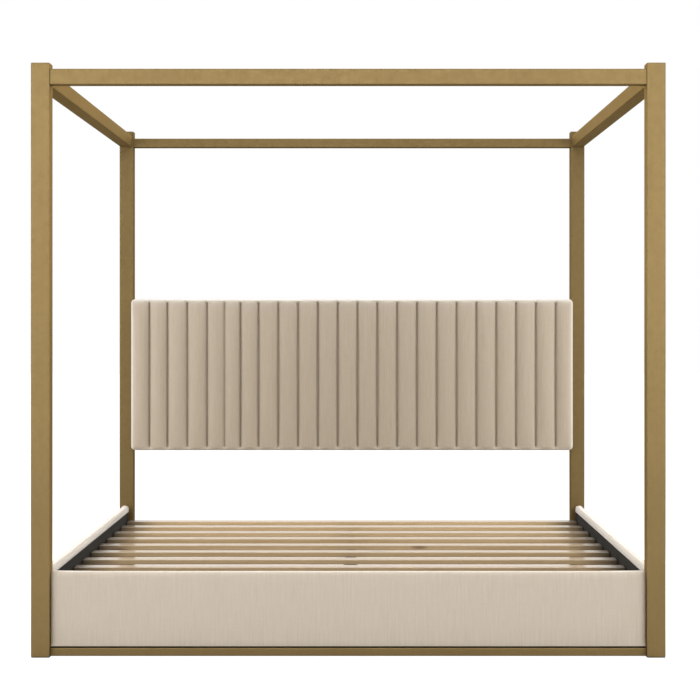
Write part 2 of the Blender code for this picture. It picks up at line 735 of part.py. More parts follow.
def build_slats():
    """Pine slats that share one mesh, with a countersunk hole near each end."""
    corner = Vector((SLAT_HALF_LENGTH, SLAT_WIDTH / 2, 0))
    low = -corner - Vector((0, 0, SLAT_THICKNESS))
    blank = round_edges(add_object("blank", box_mesh("blank", low, corner)), SLAT_EDGE)
    above = SLAT_THICKNESS
    below = -2 * SLAT_THICKNESS
    cone = SLAT_SCREW_SINK + (SLAT_SCREW_HEAD - SLAT_SCREW_HOLE)
    recess_profile = [
        (0.0, above),
        (SLAT_SCREW_HEAD, above),
        (SLAT_SCREW_HEAD, -SLAT_SCREW_SINK),
        (SLAT_SCREW_HOLE, -cone),
        (SLAT_SCREW_HOLE, below),
        (0.0, below),
    ]
    recess = turned_mesh("recess", recess_profile, 12)
    ends = [at(-SLAT_SCREW_X, 0, 0), at(SLAT_SCREW_X, 0, 0)]
    recesses = add_object("recesses", copies_mesh("recesses", recess, ends))
    cut(blank, recesses)
    mesh = evaluated_mesh(blank)
    bpy.data.objects.remove(recesses, do_unlink=True)
    for number, y in enumerate(slat_centres(), start=1):
        add_object("slat_%02d" % number, mesh, PINE, at(0, y, SLAT_TOP))


# -------------------------------------------------------------------- headboard
def build_headboard(posts):
    """Padded panel in front of the head posts, held by an angle bracket on each post."""
    half = HEADBOARD_WIDTH / 2
    back = HEADBOARD_FRONT + HEADBOARD_THICKNESS
    middle = at(0, 0, (HEADBOARD_BOTTOM + HEADBOARD_TOP) / 2)
    half_height = (HEADBOARD_TOP - HEADBOARD_BOTTOM) / 2
    low = (-half, HEADBOARD_FRONT, -half_height)
    high = (half, back, half_height)
    pad = local_box("headboard_pad", low, high, middle, LINEN)
    round_edges(pad, HEADBOARD_EDGE, 3)
    board_front = back - HEADBOARD_BOARD
    board_x = half - HEADBOARD_EDGE_PAD
    board_z = half_height - HEADBOARD_EDGE_PAD
    low = (-board_x - GAP, board_front - GAP, -board_z - GAP)
    high = (board_x + GAP, back + 0.01, board_z + GAP)
    cut(pad, as_cutter("headboard_pocket", box_mesh("pocket", low, high), [middle]))
    low = (-board_x, board_front, -board_z)
    high = (board_x, back, board_z)
    local_box("headboard_board", low, high, middle, PLYWOOD)
    lining_back = back + GAP + HEADBOARD_LINING
    lining_x = half - HEADBOARD_LINING_INSET
    lining_z = half_height - HEADBOARD_LINING_INSET
    low = (-lining_x, back + GAP, -lining_z)
    high = (lining_x, lining_back, lining_z)
    local_box("headboard_lining", low, high, middle, BLACK_CLOTH)

    plate_front = lining_back + GAP
    plate_back = plate_front + STEEL_PLATE
    post_face = INNER_X - GAP
    hole = cylinder_mesh("headboard_hole", BRACKET_BOLT_HOLE, -0.008, 0.006, 10)
    levels = [BRACKET_LOW + BRACKET_BOLT_INSET, BRACKET_HIGH - BRACKET_BOLT_INSET]
    for name, side in SIDES.items():
        outline = [
            (side * post_face, plate_front),
            (side * post_face, INNER_Y + BRACKET_POST_LEG),
            (side * (post_face - STEEL_PLATE), INNER_Y + BRACKET_POST_LEG),
            (side * (post_face - STEEL_PLATE), plate_back),
            (side * (post_face - BRACKET_BOARD_LEG), plate_back),
            (side * (post_face - BRACKET_BOARD_LEG), plate_front),
        ]
        mesh = outline_mesh("bracket_" + name, outline, BRACKET_HIGH - BRACKET_LOW)
        place = at(0, 0, (BRACKET_HIGH + BRACKET_LOW) / 2)
        bracket = add_object("headboard_bracket_" + name, mesh, BLACK_STEEL, place)
        on_board = [
            at(side * (post_face - BRACKET_BOARD_BOLT), plate_back, level) @ pointing((0, 1, 0))
            for level in levels
        ]
        on_post = [
            at(side * (post_face - STEEL_PLATE), INNER_Y + BRACKET_POST_BOLT, level)
            @ pointing((-side, 0, 0))
            for level in levels
        ]
        board_holes = as_cutter("headboard_board_holes_" + name, hole, on_board)
        post_holes = as_cutter("headboard_post_holes_" + name, hole, on_post)
        cut(bracket, board_holes)
        cut(bracket, post_holes)
        cut(posts["head_" + name], post_holes)


def build_bed():
    screw_holes = set_screw_holes()
    posts = {
        corner: build_post(corner, side, end, screw_holes)
        for corner, (side, end) in CORNERS.items()
    }
    build_glides()
    build_rails(screw_holes)
    build_panels(posts)
    build_ledgers()
    build_legs(build_centre_beam())
    build_slats()
    build_headboard(posts)


build_bed()
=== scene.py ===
"""Looks of the four poster canopy bed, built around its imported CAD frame.

Metres, in the frame of the CAD model: +X right, +Y towards the head, +Z up.
"""

import json
import math

import bmesh
import bpy
import numpy as np
from mathutils import Matrix, Vector


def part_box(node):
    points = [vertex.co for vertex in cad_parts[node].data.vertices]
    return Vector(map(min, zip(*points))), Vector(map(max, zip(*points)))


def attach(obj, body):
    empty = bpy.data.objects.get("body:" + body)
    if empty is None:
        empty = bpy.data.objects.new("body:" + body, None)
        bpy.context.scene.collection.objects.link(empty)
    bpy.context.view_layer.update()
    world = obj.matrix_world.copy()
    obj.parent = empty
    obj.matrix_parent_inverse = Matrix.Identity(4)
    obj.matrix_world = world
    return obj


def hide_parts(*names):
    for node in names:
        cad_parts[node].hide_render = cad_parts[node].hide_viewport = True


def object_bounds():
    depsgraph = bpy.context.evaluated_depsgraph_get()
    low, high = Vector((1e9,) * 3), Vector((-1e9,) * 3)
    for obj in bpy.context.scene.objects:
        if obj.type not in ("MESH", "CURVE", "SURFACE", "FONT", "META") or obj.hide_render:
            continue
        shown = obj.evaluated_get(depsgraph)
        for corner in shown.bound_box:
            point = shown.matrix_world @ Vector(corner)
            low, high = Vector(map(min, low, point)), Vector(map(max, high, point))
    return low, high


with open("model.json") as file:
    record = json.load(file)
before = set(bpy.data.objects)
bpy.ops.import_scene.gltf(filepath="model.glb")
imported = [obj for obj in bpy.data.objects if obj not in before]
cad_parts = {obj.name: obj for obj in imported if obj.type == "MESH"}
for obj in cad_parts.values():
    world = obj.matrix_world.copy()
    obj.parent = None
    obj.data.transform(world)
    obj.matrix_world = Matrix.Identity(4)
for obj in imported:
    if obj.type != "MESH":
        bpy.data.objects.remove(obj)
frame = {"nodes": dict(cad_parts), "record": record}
cad_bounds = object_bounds()
nodes = frame["nodes"]
FRAME_BODY = "bed_frame"
GAP = 0.0003                   # between a soft piece and the hard ones it touches
CLOSE = 1e-5                   # two lengths closer than this are the same
TINY = 1e-9                    # keeps a division by a length from failing


# ------------------------------------------------------------------ small tools
def new_object(name, mesh, material=None):
    item = bpy.data.objects.new(name, mesh)
    bpy.context.scene.collection.objects.link(item)
    if material is not None:
        mesh.materials.clear()
        mesh.materials.append(material)
    return item


def mesh_of(name, work):
    """Turn a bmesh into a mesh and free it."""
    mesh = bpy.data.meshes.new(name)
    work.to_mesh(mesh)
    work.free()
    return mesh


def smoothstep(value, low, high):
    """0 up to low, 1 from high on, with a smooth rise between."""
    share = np.clip((value - low) / (high - low), 0.0, 1.0)
    return share * share * (3.0 - 2.0 * share)


def coordinates(mesh):
    flat = np.empty(len(mesh.vertices) * 3, np.float32)
    mesh.vertices.foreach_get("co", flat)
    return flat.reshape(-1, 3).astype(float)


def set_coordinates(mesh, points):
    mesh.vertices.foreach_set("co", points.astype(np.float32).ravel())
    mesh.update()


def paint(mesh, name, values):
    """Store a number for each point, for a material to read."""
    layer = mesh.attributes.new(name, "FLOAT", "POINT")
    layer.data.foreach_set("value", values.astype(np.float32))


# ------------------------------------------------------------ material builder
class Surface:
    """A Principled material, with short calls that add nodes to it."""

    def __init__(self, name, **constants):
        self.material = bpy.data.materials.new(name)
        self.material.use_nodes = True
        self.tree = self.material.node_tree
        self.shader = self.tree.nodes["Principled BSDF"]
        for socket, value in constants.items():
            self.shader.inputs[socket.replace("_", " ")].default_value = value

    def put(self, value, socket):
        """Link a socket to another, or set it to a number."""
        if isinstance(value, bpy.types.NodeSocket):
            self.tree.links.new(value, socket)
        elif isinstance(value, tuple) and len(value) == 3 and socket.type == "RGBA":
            socket.default_value = (*value, 1.0)
        else:
            socket.default_value = value

    def node(self, kind, inputs=None, **settings):
        made = self.tree.nodes.new("ShaderNode" + kind)
        for key, value in settings.items():
            setattr(made, key, value)
        for key, value in (inputs or {}).items():
            self.put(value, made.inputs[key])
        return made

    def math(self, operation, first, second=0.0, third=0.0):
        inputs = {0: first, 1: second, 2: third}
        return self.node("Math", inputs, operation=operation).outputs[0]

    def vector(self, operation, first, second=(0, 0, 0)):
        return self.node("VectorMath", {0: first, 1: second}, operation=operation).outputs[0]

    def place(self):
        """Place on the object, in metres."""
        return self.node("TexCoord").outputs["Object"]

    def stretch(self, vector, scale, shift=(0, 0, 0)):
        values = {"Vector": vector, "Scale": scale, "Location": shift}
        return self.node("Mapping", values).outputs[0]

    def noise(self, vector, scale=1.0, detail=3.0, roughness=0.5, distortion=0.0):
        values = {
            "Vector": vector,
            "Scale": scale,
            "Detail": detail,
            "Roughness": roughness,
            "Distortion": distortion,
        }
        return self.node("TexNoise", values).outputs["Fac"]

    def remap(self, value, low, high, to_low=0.0, to_high=1.0):
        values = {
            "Value": value,
            "From Min": low,
            "From Max": high,
            "To Min": to_low,
            "To Max": to_high,
        }
        return self.node("MapRange", values).outputs["Result"]

    def mix(self, factor, first, second, blend="MIX"):
        made = self.node("Mix", data_type="RGBA", blend_type=blend)
        self.put(factor, made.inputs[0])
        self.put(first, made.inputs[6])
        self.put(second, made.inputs[7])
        return made.outputs[2]

    def colour(self, value):
        self.put(value, self.shader.inputs["Base Color"])

    def rough(self, value):
        self.put(value, self.shader.inputs["Roughness"])

    def shaded(self, colour, shade):
        """The colour, multiplied by a number."""
        grey = self.node("CombineXYZ", {0: shade, 1: shade, 2: shade}).outputs[0]
        return self.mix(1.0, colour, grey, "MULTIPLY")

    def blend(self, values, shares):
        """The sum of the values, each times its share."""
        total = self.math("MULTIPLY", values[0], shares[0])
        for value, share in zip(values[1:], shares[1:]):
            total = self.math("ADD", total, self.math("MULTIPLY", value, share))
        return total

    def bump(self, height, distance, strength):
        made = self.node("Bump", {"Height": height, "Distance": distance, "Strength": strength})
        self.put(made.outputs[0], self.shader.inputs["Normal"])


# -------------------------------------------------------------- camera and room
VIEW_DISTANCE = 5.902          # from the camera to the front faces of the foot posts
VIEW_WIDTH = 2.24              # what the camera takes in at that distance
EYE_X = 0.0452
EYE_HEIGHT = 1.081
SHIFT_X = -0.01771             # the picture is centred a little beside the line of sight
SHIFT_Y = -0.04286             # and a little below it
SENSOR = 36.0                  # in millimetres

WORLD_FRONT = 0.02             # light from behind the camera
WORLD_BACK = 1.60              # and from behind the bed
WORLD_TURN = 0.25              # the change from one to the other ends this far to each side
FLOOR_SIZE = 30.0
FLOOR_NEAR = 0.55              # what the floor gives back beside the bed
FLOOR_FAR = 0.35               # and further away
FLOOR_REACH = 1.0              # over which it changes
FLOOR_GLOW = 0.85              # fades out under the bed, leaving a painted shadow there
FLOOR_INSIDE = 0.40            # from the outline of the bed to where none of it is left
FLOOR_FADE = 0.37              # over which it fades

# lights in the middle: place, target, size, watts
LIGHTS = {
    "key": ((0, -6.2, 3.4), (0, 0, 0.9), (3.0, 2.0), 98),
    "top": ((0, 0.1, 3.3), (0, 0.7, 0.7), (2.6, 1.2), 34),
    "top_back": ((0, 1.9, 4.2), (0, 0.6, 0), (5.0, 3.2), 74),
}
# lights in pairs: the same, for the one on the right
LIGHT_PAIRS = {
    "low": ((2.5, -6.2, 1.2), (0, 0, 0.9), (2.5, 1.6), 22),
    "high": ((2.0, -3.4, 3.2), (0, -1, 0.5), (1.8, 1.8), 13),
    "close": ((2.3, -3.0, 1.3), (0, -1, 0.9), (1.6, 2.0), 26),
    "side": ((2.4, 0.2, 1.2), (0.9, 0.97, 0.85), (0.7, 1.4), 24),
}


def build_camera():
    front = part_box("post_foot_left")[0].y
    data = bpy.data.cameras.new("photo_camera")
    data.sensor_width = SENSOR
    data.lens = SENSOR * VIEW_DISTANCE / VIEW_WIDTH
    data.shift_x = SHIFT_X
    data.shift_y = SHIFT_Y
    camera = bpy.data.objects.new("photo_camera", data)
    camera.location = (EYE_X, front - VIEW_DISTANCE, EYE_HEIGHT)
    camera.rotation_euler = (math.pi / 2, 0, 0)
    bpy.context.scene.collection.objects.link(camera)
    bpy.context.scene.camera = camera


def area_light(name, place, target, size, watts):
    data = bpy.data.lights.new(name, "AREA")
    data.shape = "RECTANGLE"
    data.size, data.size_y = size
    data.energy = watts
    light = bpy.data.objects.new(name, data)
    light.location = place
    direction = Vector(target) - Vector(place)
    light.rotation_euler = direction.to_track_quat("-Z", "Y").to_euler()
    bpy.context.scene.collection.objects.link(light)


def build_world():
    """White studio: bright behind the bed, nearly dark behind the camera."""
    world = bpy.data.worlds.new("studio")
    bpy.context.scene.world = world
    world.use_nodes = True
    tree = world.node_tree
    background = tree.nodes["Background"]
    coordinate = tree.nodes.new("ShaderNodeTexCoord")
    split = tree.nodes.new("ShaderNodeSeparateXYZ")
    depth = tree.nodes.new("ShaderNodeMapRange")
    depth.inputs["From Min"].default_value = -WORLD_TURN
    depth.inputs["From Max"].default_value = WORLD_TURN
    depth.inputs["To Min"].default_value = WORLD_FRONT
    depth.inputs["To Max"].default_value = WORLD_BACK
    path = tree.nodes.new("ShaderNodeLightPath")
    strength = tree.nodes.new("ShaderNodeMix")
    strength.data_type = "FLOAT"
    tree.links.new(coordinate.outputs["Generated"], split.inputs[0])
    tree.links.new(split.outputs["Y"], depth.inputs["Value"])
    tree.links.new(path.outputs["Is Camera Ray"], strength.inputs["Factor"])
    tree.links.new(depth.outputs["Result"], strength.inputs["A"])
    strength.inputs["B"].default_value = 1.0
    tree.links.new(strength.outputs["Result"], background.inputs["Strength"])
    background.inputs["Color"].default_value = (1, 1, 1, 1)


def build_floor():
    """Pale floor with a faint glow that only the camera sees; the glow fades out under the bed as
    a painted shadow.
    """
    work = bmesh.new()
    bmesh.ops.create_grid(work, x_segments=1, y_segments=1, size=FLOOR_SIZE)
    floor = new_object("floor", mesh_of("floor", work))
    s = Surface("floor_paint", Roughness=0.9, Specular_IOR_Level=0.0)
    half = (Vector(cad_bounds[1]) - Vector(cad_bounds[0])) / 2
    reach = s.vector("ABSOLUTE", s.place())
    reach = s.vector("SUBTRACT", reach, (half.x - FLOOR_INSIDE, half.y - FLOOR_INSIDE, 0))
    reach = s.vector("MAXIMUM", reach, (0, 0, 0))
    away = s.node("VectorMath", {0: reach}, operation="LENGTH").outputs["Value"]
    near, far = ((value, value, value) for value in (FLOOR_NEAR, FLOOR_FAR))
    s.colour(s.mix(s.remap(away, FLOOR_INSIDE, FLOOR_INSIDE + FLOOR_REACH), near, far))
    tree = s.tree
    # the glow fades out under the bed: a painted shadow
    glow = tree.nodes.new("ShaderNodeEmission")
    tree.links.new(s.remap(away, 0.0, FLOOR_FADE, 0.0, FLOOR_GLOW), glow.inputs["Strength"])
    both = tree.nodes.new("ShaderNodeAddShader")
    path = tree.nodes.new("ShaderNodeLightPath")
    choose = tree.nodes.new("ShaderNodeMixShader")
    tree.links.new(s.shader.outputs[0], both.inputs[0])
    tree.links.new(glow.outputs[0], both.inputs[1])
    tree.links.new(path.outputs["Is Camera Ray"], choose.inputs[0])
    tree.links.new(s.shader.outputs[0], choose.inputs[1])
    tree.links.new(both.outputs[0], choose.inputs[2])
    tree.links.new(choose.outputs[0], tree.nodes["Material Output"].inputs["Surface"])
    floor.data.materials.append(s.material)


def build_studio():
    scene = bpy.context.scene
    scene.view_settings.view_transform = "Standard"
    scene.view_settings.look = "None"
    build_camera()
    build_world()
    build_floor()
    for name, light in LIGHTS.items():
        area_light(name, *light)
    for end, side in (("_left", -1), ("_right", 1)):
        for name, (place, target, size, watts) in LIGHT_PAIRS.items():
            place = (side * place[0], *place[1:])
            target = (side * target[0], *target[1:])
            area_light(name + end, place, target, size, watts)


# -------------------------------------------------------------------- materials
SEWN = "sewn"                 # mesh attribute: 1 in the bottom of a sewn groove
SEAM_PAINTED_SHADE = 0.80             # painted shade: the cloth is darkened there, in place of the shade in the groove
EDGE_HIGHLIGHT_ATTRIBUTE = "edge_highlight"               # mesh attribute: 1 at the outer edges of the headboard, for a painted highlight there
EDGE_HIGHLIGHT_SHARE = 0.36            # how far the colour there is mixed towards the pale colour of the painted highlight
EDGE_HIGHLIGHT_COLOUR = (0.90, 0.88, 0.86)
THREAD = 0.0011               # thread pitch of the linen
THREAD_WANDER = 2.5           # radians
LINING_TONES = ((0.014, 0.012, 0.009), (0.021, 0.018, 0.0125))
PINE_TONES = ((0.60, 0.435, 0.245), (0.47, 0.315, 0.155))
PINE_GRAIN = (0.36, 0.225, 0.1)
PINE_KNOT = (0.17, 0.085, 0.035)
PINE_END_SHADE = (0.84, 0.975, 1.0, 0.20)    # painted shade at the slat ends, next to the side rails: from, to, shades
PINE_EDGE_SHADE = (-0.45, 0.85, 0.80, 1.10)  # painted shade on the sawn edges, darker near the foot: from, to, shades
PINE_FACE_SHADE = 0.55              # painted shade: the wide faces are darker than the sawn edges
PLYWOOD_TONES = ((0.60, 0.44, 0.27), (0.45, 0.31, 0.17))
STEEL_TONES = ((0.014, 0.014, 0.014), (0.032, 0.031, 0.029))
PLASTIC_TONES = ((0.018, 0.018, 0.018), (0.045, 0.044, 0.042))
ZINC_TONES = ((0.52, 0.52, 0.5), (0.66, 0.66, 0.64))


NOISE = (0.3, 0.7)                     # most of what a noise gives lies between these

GOLD_TINT = (0.39, 0.335, 0.29, 1.0)
GOLD_STREAKS = (160, 160, 2.5)         # waves per metre, as are all scales below
GOLD_CLOUDS = 3.5
GOLD_HANDLING = 45.0
GOLD_PEEL = 520.0
GOLD_PEEL_HEIGHT = 0.00025
GOLD_SHARES = (0.35, 0.65)             # of streaks and clouds in the colour
GOLD_ROUGHNESS = (0.5, 0.6)


def gold_paint(name, dark, light):
    """Satin powder coat in antique gold: fine orange peel and faint upright streaks."""
    s = Surface(name, Metallic=1.0, Specular_Tint=GOLD_TINT)
    place = s.place()
    streaks = s.noise(s.stretch(place, GOLD_STREAKS), detail=4.0, roughness=0.6)
    clouds = s.noise(place, GOLD_CLOUDS)
    tone = s.blend((streaks, clouds), GOLD_SHARES)
    s.colour(s.mix(s.remap(tone, 0.35, 0.65), dark, light))
    handling = s.noise(place, GOLD_HANDLING, detail=4.0, roughness=0.6)
    s.rough(s.remap(handling, *NOISE, *GOLD_ROUGHNESS))
    s.bump(s.noise(place, GOLD_PEEL, detail=2.0), GOLD_PEEL_HEIGHT, strength=0.35)
    return s.material


WANDER = (90, 90, 1)                   # how often the threads wander
WARP = (520, 14, 1)                    # thick and thin stretches of the upright threads
WEFT = (14, 520, 1)                    # and of the level ones
SLUBS = (170, 3.2, 1)
WEFT_SHIFT = (3.7, 1.9, 0)             # so that the three don't line up
SLUB_SHIFT = (7.1, 0, 0)
HEATHER_SHARES = (0.45, 0.2, 0.35)     # of warp, weft and slubs in the colour
HEATHER_RANGE = (0.36, 0.64)
WEAVE_SHADES = (0.86, 1.04)            # between threads and on top of them
WEAVE_RELIEF = (0.6, 0.7)              # shares of weave and heather in the height
LINEN_HEIGHT = 0.0005
LINEN_ROUGHNESS = (0.82, 0.95)


def linen(name, light, dark, along="X", sheen=0.85, fuzz=0.4, seams=False):
    """Linen-look cloth: plain weave, thick and thin threads, upright slubs. With seams, painted
    shade in the sewn grooves and a painted highlight along the outer edges.

    U runs along the piece, and V goes up its outer face and inward over its top.
    """
    s = Surface(name, Specular_IOR_Level=0.25, Sheen_Weight=sheen, Sheen_Roughness=fuzz)
    split = s.node("SeparateXYZ", {0: s.place()})
    u = split.outputs[along]
    depth = split.outputs["Y"]
    if along == "Y":
        depth = s.math("MULTIPLY", s.math("ABSOLUTE", split.outputs["X"]), -1.0)
    v = s.math("ADD", split.outputs["Z"], depth)
    place = s.node("CombineXYZ", {0: u, 1: v}).outputs[0]
    wander = s.noise(s.stretch(place, WANDER), detail=2.0)
    turn = math.pi / THREAD
    bend = s.math("MULTIPLY", wander, THREAD_WANDER)
    upright = s.math("SINE", s.math("MULTIPLY_ADD", u, turn, bend))
    level = s.math("SINE", s.math("MULTIPLY_ADD", v, turn, bend))
    weave = s.remap(s.math("MULTIPLY", upright, level), -1.0, 1.0)
    warp = s.noise(s.stretch(place, WARP), roughness=0.6)
    weft = s.noise(s.stretch(place, WEFT, WEFT_SHIFT), roughness=0.6)
    slub = s.noise(s.stretch(place, SLUBS, SLUB_SHIFT), detail=4.0, roughness=0.7)
    heather = s.blend((warp, weft, slub), HEATHER_SHARES)
    tone = s.mix(s.remap(heather, *HEATHER_RANGE), dark, light)
    shade = s.remap(weave, 0.0, 1.0, *WEAVE_SHADES)
    if seams:
        # painted shade in the sewn grooves
        sewn = s.node("Attribute", attribute_name=SEWN).outputs["Fac"]
        shade = s.math("MULTIPLY", shade, s.remap(sewn, 0.0, 1.0, 1.0, SEAM_PAINTED_SHADE))
        # painted highlight along the outer edges: the colour is mixed towards a pale one
        edge_highlight = s.node("Attribute", attribute_name=EDGE_HIGHLIGHT_ATTRIBUTE).outputs["Fac"]
        tone = s.mix(s.remap(edge_highlight, 0.0, 1.0, 0.0, EDGE_HIGHLIGHT_SHARE), tone, EDGE_HIGHLIGHT_COLOUR)
    s.colour(s.shaded(tone, shade))
    s.rough(s.remap(heather, *NOISE, *LINEN_ROUGHNESS))
    s.bump(s.blend((weave, heather), WEAVE_RELIEF), LINEN_HEIGHT, strength=0.55)
    return s.material


LINING_FIBRES = 420.0
LINING_PATCHES = 6.0
LINING_HEIGHT = 0.0005
LINING_ROUGHNESS = (0.75, 0.95)


def lining_cloth():
    """Thin black lining, spun-bonded, with a fine quilted emboss."""
    s = Surface("black_lining_cloth", Specular_IOR_Level=0.15)
    place = s.place()
    fibres = s.noise(place, LINING_FIBRES, detail=5.0, roughness=0.7, distortion=0.6)
    patches = s.noise(place, LINING_PATCHES)
    s.colour(s.mix(s.remap(patches, *NOISE), *LINING_TONES))
    s.rough(s.remap(fibres, *NOISE, *LINING_ROUGHNESS))
    s.bump(fibres, LINING_HEIGHT, strength=0.5)
    return s.material


PINE_WARP = (1.3, 9, 9)                # slow bends of the growth bands
PINE_DRIFT = (0.05, 0.03)              # how far they bend, aside and up
PINE_BANDS = (1, 70, 70)
PINE_FIBRES = (6, 420, 420)
PINE_KNOTS = (3.1, 11.0, 11.0)
PINE_KNOT_SIZE = (0.05, 0.14)          # of a knot's core and of its whole
PINE_FIBRE_RANGE = (0.45, 0.8, 0.0, 0.45)
PINE_RELIEF = (1.0, 0.4)               # shares of fibres and bands in the height
PINE_HEIGHT = 0.0002
PINE_ROUGHNESS = (0.42, 0.58)
VARNISH = {"Coat_Weight": 0.35, "Coat_Roughness": 0.12, "Coat_IOR": 1.5}


def pine():
    """Planed pine along X: grain, growth bands and small knots, under a satin varnish, with
    painted shade on the wide faces, near the foot and at the ends.
    """
    s = Surface("pine_slat", **VARNISH)
    place = s.place()
    warp = s.noise(s.stretch(place, PINE_WARP), detail=2.0)
    aside, up = (s.math("MULTIPLY", warp, drift) for drift in PINE_DRIFT)
    drift = s.node("CombineXYZ", {1: aside, 2: up}).outputs[0]
    lines = s.vector("ADD", s.vector("MULTIPLY", place, (0, 1, 1)), drift)
    bands = s.noise(s.stretch(lines, PINE_BANDS), roughness=0.55)
    grain = s.noise(s.stretch(place, PINE_FIBRES), detail=4.0, roughness=0.65)
    cell = {"Vector": s.stretch(place, PINE_KNOTS), "Scale": 1.0, "Randomness": 1.0}
    knot = s.remap(s.node("TexVoronoi", cell).outputs["Distance"], *PINE_KNOT_SIZE, 1.0, 0.0)
    wood = s.mix(s.remap(bands, 0.36, 0.66), *PINE_TONES)
    wood = s.mix(s.remap(grain, *PINE_FIBRE_RANGE), wood, PINE_GRAIN)
    wood = s.mix(knot, wood, PINE_KNOT)
    # painted shade: darker wide faces, and sawn edges darker towards the foot
    normal = s.node("NewGeometry").outputs["Normal"]
    facing = s.node("SeparateXYZ", {0: normal}).outputs["Z"]
    split = s.node("SeparateXYZ", {0: place})
    wide = s.remap(s.math("ABSOLUTE", facing), 0.5, 0.9)
    edge = s.remap(split.outputs["Y"], *PINE_EDGE_SHADE)
    edge = s.math("MULTIPLY", edge, s.math("SUBTRACT", 1.0, wide))
    painted_shade = s.math("ADD", edge, s.math("MULTIPLY", wide, PINE_FACE_SHADE))
    # painted shade at the slat ends
    end = s.remap(s.math("ABSOLUTE", split.outputs["X"]), *PINE_END_SHADE)
    s.colour(s.shaded(wood, s.math("MULTIPLY", painted_shade, end)))
    s.rough(s.remap(grain, *NOISE, *PINE_ROUGHNESS))
    s.bump(s.blend((grain, bands), PINE_RELIEF), PINE_HEIGHT, strength=0.4)
    return s.material


PLYWOOD_LAYERS = (3, 3, 90)
PLYWOOD_ROUGHNESS = (0.6, 0.75)
PLYWOOD_HEIGHT = 0.0003
STEEL_PEEL = 600.0
STEEL_DUST = 9.0
STEEL_ROUGHNESS = (0.4, 0.55)
PLASTIC_TEXTURE = 900.0
PLASTIC_SCUFFS = (40, 40, 8)
PLASTIC_ROUGHNESS = (0.5, 0.65)
FINE_HEIGHT = 0.0002                   # relief of the powder coat and the plastic
ZINC_SPANGLE = 260.0
ZINC_ROUGHNESS = (0.3, 0.45)
ZINC_HEIGHT = 0.0001


def plywood():
    """Sanded birch plywood: pale face grain and layered edges."""
    s = Surface("plywood_board", Specular_IOR_Level=0.3)
    layers = s.stretch(s.place(), PLYWOOD_LAYERS)
    grain = s.noise(layers, detail=4.0, roughness=0.6, distortion=0.8)
    s.colour(s.mix(s.remap(grain, *NOISE), *PLYWOOD_TONES))
    s.rough(s.remap(grain, *NOISE, *PLYWOOD_ROUGHNESS))
    s.bump(grain, PLYWOOD_HEIGHT, strength=0.3)
    return s.material


def black_steel():
    """Black powder coat, with a little dust on it."""
    s = Surface("black_powder_coat", Specular_IOR_Level=0.5)
    place = s.place()
    peel = s.noise(place, STEEL_PEEL, detail=2.0)
    dust = s.noise(place, STEEL_DUST, detail=4.0, roughness=0.6)
    s.colour(s.mix(s.remap(dust, 0.35, 0.75), *STEEL_TONES))
    s.rough(s.remap(dust, *NOISE, *STEEL_ROUGHNESS))
    s.bump(peel, FINE_HEIGHT, strength=0.4)
    return s.material


def black_plastic():
    """Moulded plastic with a fine texture and upright scuffs."""
    s = Surface("black_moulded_plastic", Specular_IOR_Level=0.45)
    place = s.place()
    texture = s.noise(place, PLASTIC_TEXTURE, roughness=0.6)
    scuffs = s.noise(s.stretch(place, PLASTIC_SCUFFS), detail=4.0, roughness=0.7)
    s.colour(s.mix(s.remap(scuffs, 0.5, 0.8), *PLASTIC_TONES))
    s.rough(s.remap(texture, *NOISE, *PLASTIC_ROUGHNESS))
    s.bump(texture, FINE_HEIGHT, strength=0.5)
    return s.material


def zinc():
    """Zinc plate with a fine spangle."""
    s = Surface("zinc_plate", Metallic=1.0)
    spangle = s.noise(s.place(), ZINC_SPANGLE, roughness=0.6)
    s.colour(s.mix(s.remap(spangle, *NOISE), *ZINC_TONES))
    s.rough(s.remap(spangle, *NOISE, *ZINC_ROUGHNESS))
    s.bump(spangle, ZINC_HEIGHT, strength=0.3)
    return s.material


GOLD = gold_paint("antique_gold", (0.279, 0.195, 0.0815), (0.303, 0.212, 0.0895))
# painted shade: a darker copy of the gold for the head posts and head rail, which get less light
SHADED_HEAD_GOLD = gold_paint("antique_gold_head_shaded", (0.184, 0.128, 0.0536), (0.200, 0.139, 0.0589))
FOOTBOARD_LINEN = linen("footboard_linen", (0.66, 0.575, 0.475), (0.565, 0.485, 0.39))
# painted shade: a slightly darker copy of the footboard's linen, for the brighter light on the
# rail tops
SIDE_LINEN = linen("side_rail_linen", (0.61, 0.53, 0.434), (0.523, 0.447, 0.356), "Y", sheen=0.70)
CHANNEL_LINEN = linen(
    "channel_linen_cloth",
    (0.505, 0.428, 0.334),
    (0.432, 0.363, 0.272),
    sheen=1.0,
    fuzz=0.24,
    seams=True,
)
LINING = lining_cloth()
PINE = pine()
PLYWOOD = plywood()
BLACK_STEEL = black_steel()
BLACK_PLASTIC = black_plastic()
ZINC = zinc()

FINISHES = {
    "gold_frame": GOLD,
    "linen": FOOTBOARD_LINEN,
    "channel_linen": CHANNEL_LINEN,
    "black_lining": LINING,
    "plywood": PLYWOOD,
    "pine": PINE,
    "black_steel": BLACK_STEEL,
    "black_plastic": BLACK_PLASTIC,
}
HEAD_FRAME = ("post_head_left", "post_head_right", "canopy_rail_head")


def dress_cad_nodes():
    """Give every CAD node the finish of its material slot, and the head posts and head rail a
    darker copy of the gold, as painted shade.
    """
    for entry in frame["record"]["subparts"]:
        item = nodes[entry["node"]]
        item.data.materials.clear()
        in_head = entry["node"] in HEAD_FRAME
        finish = SHADED_HEAD_GOLD if in_head else FINISHES[entry["material_slot"]]
        item.data.materials.append(finish)


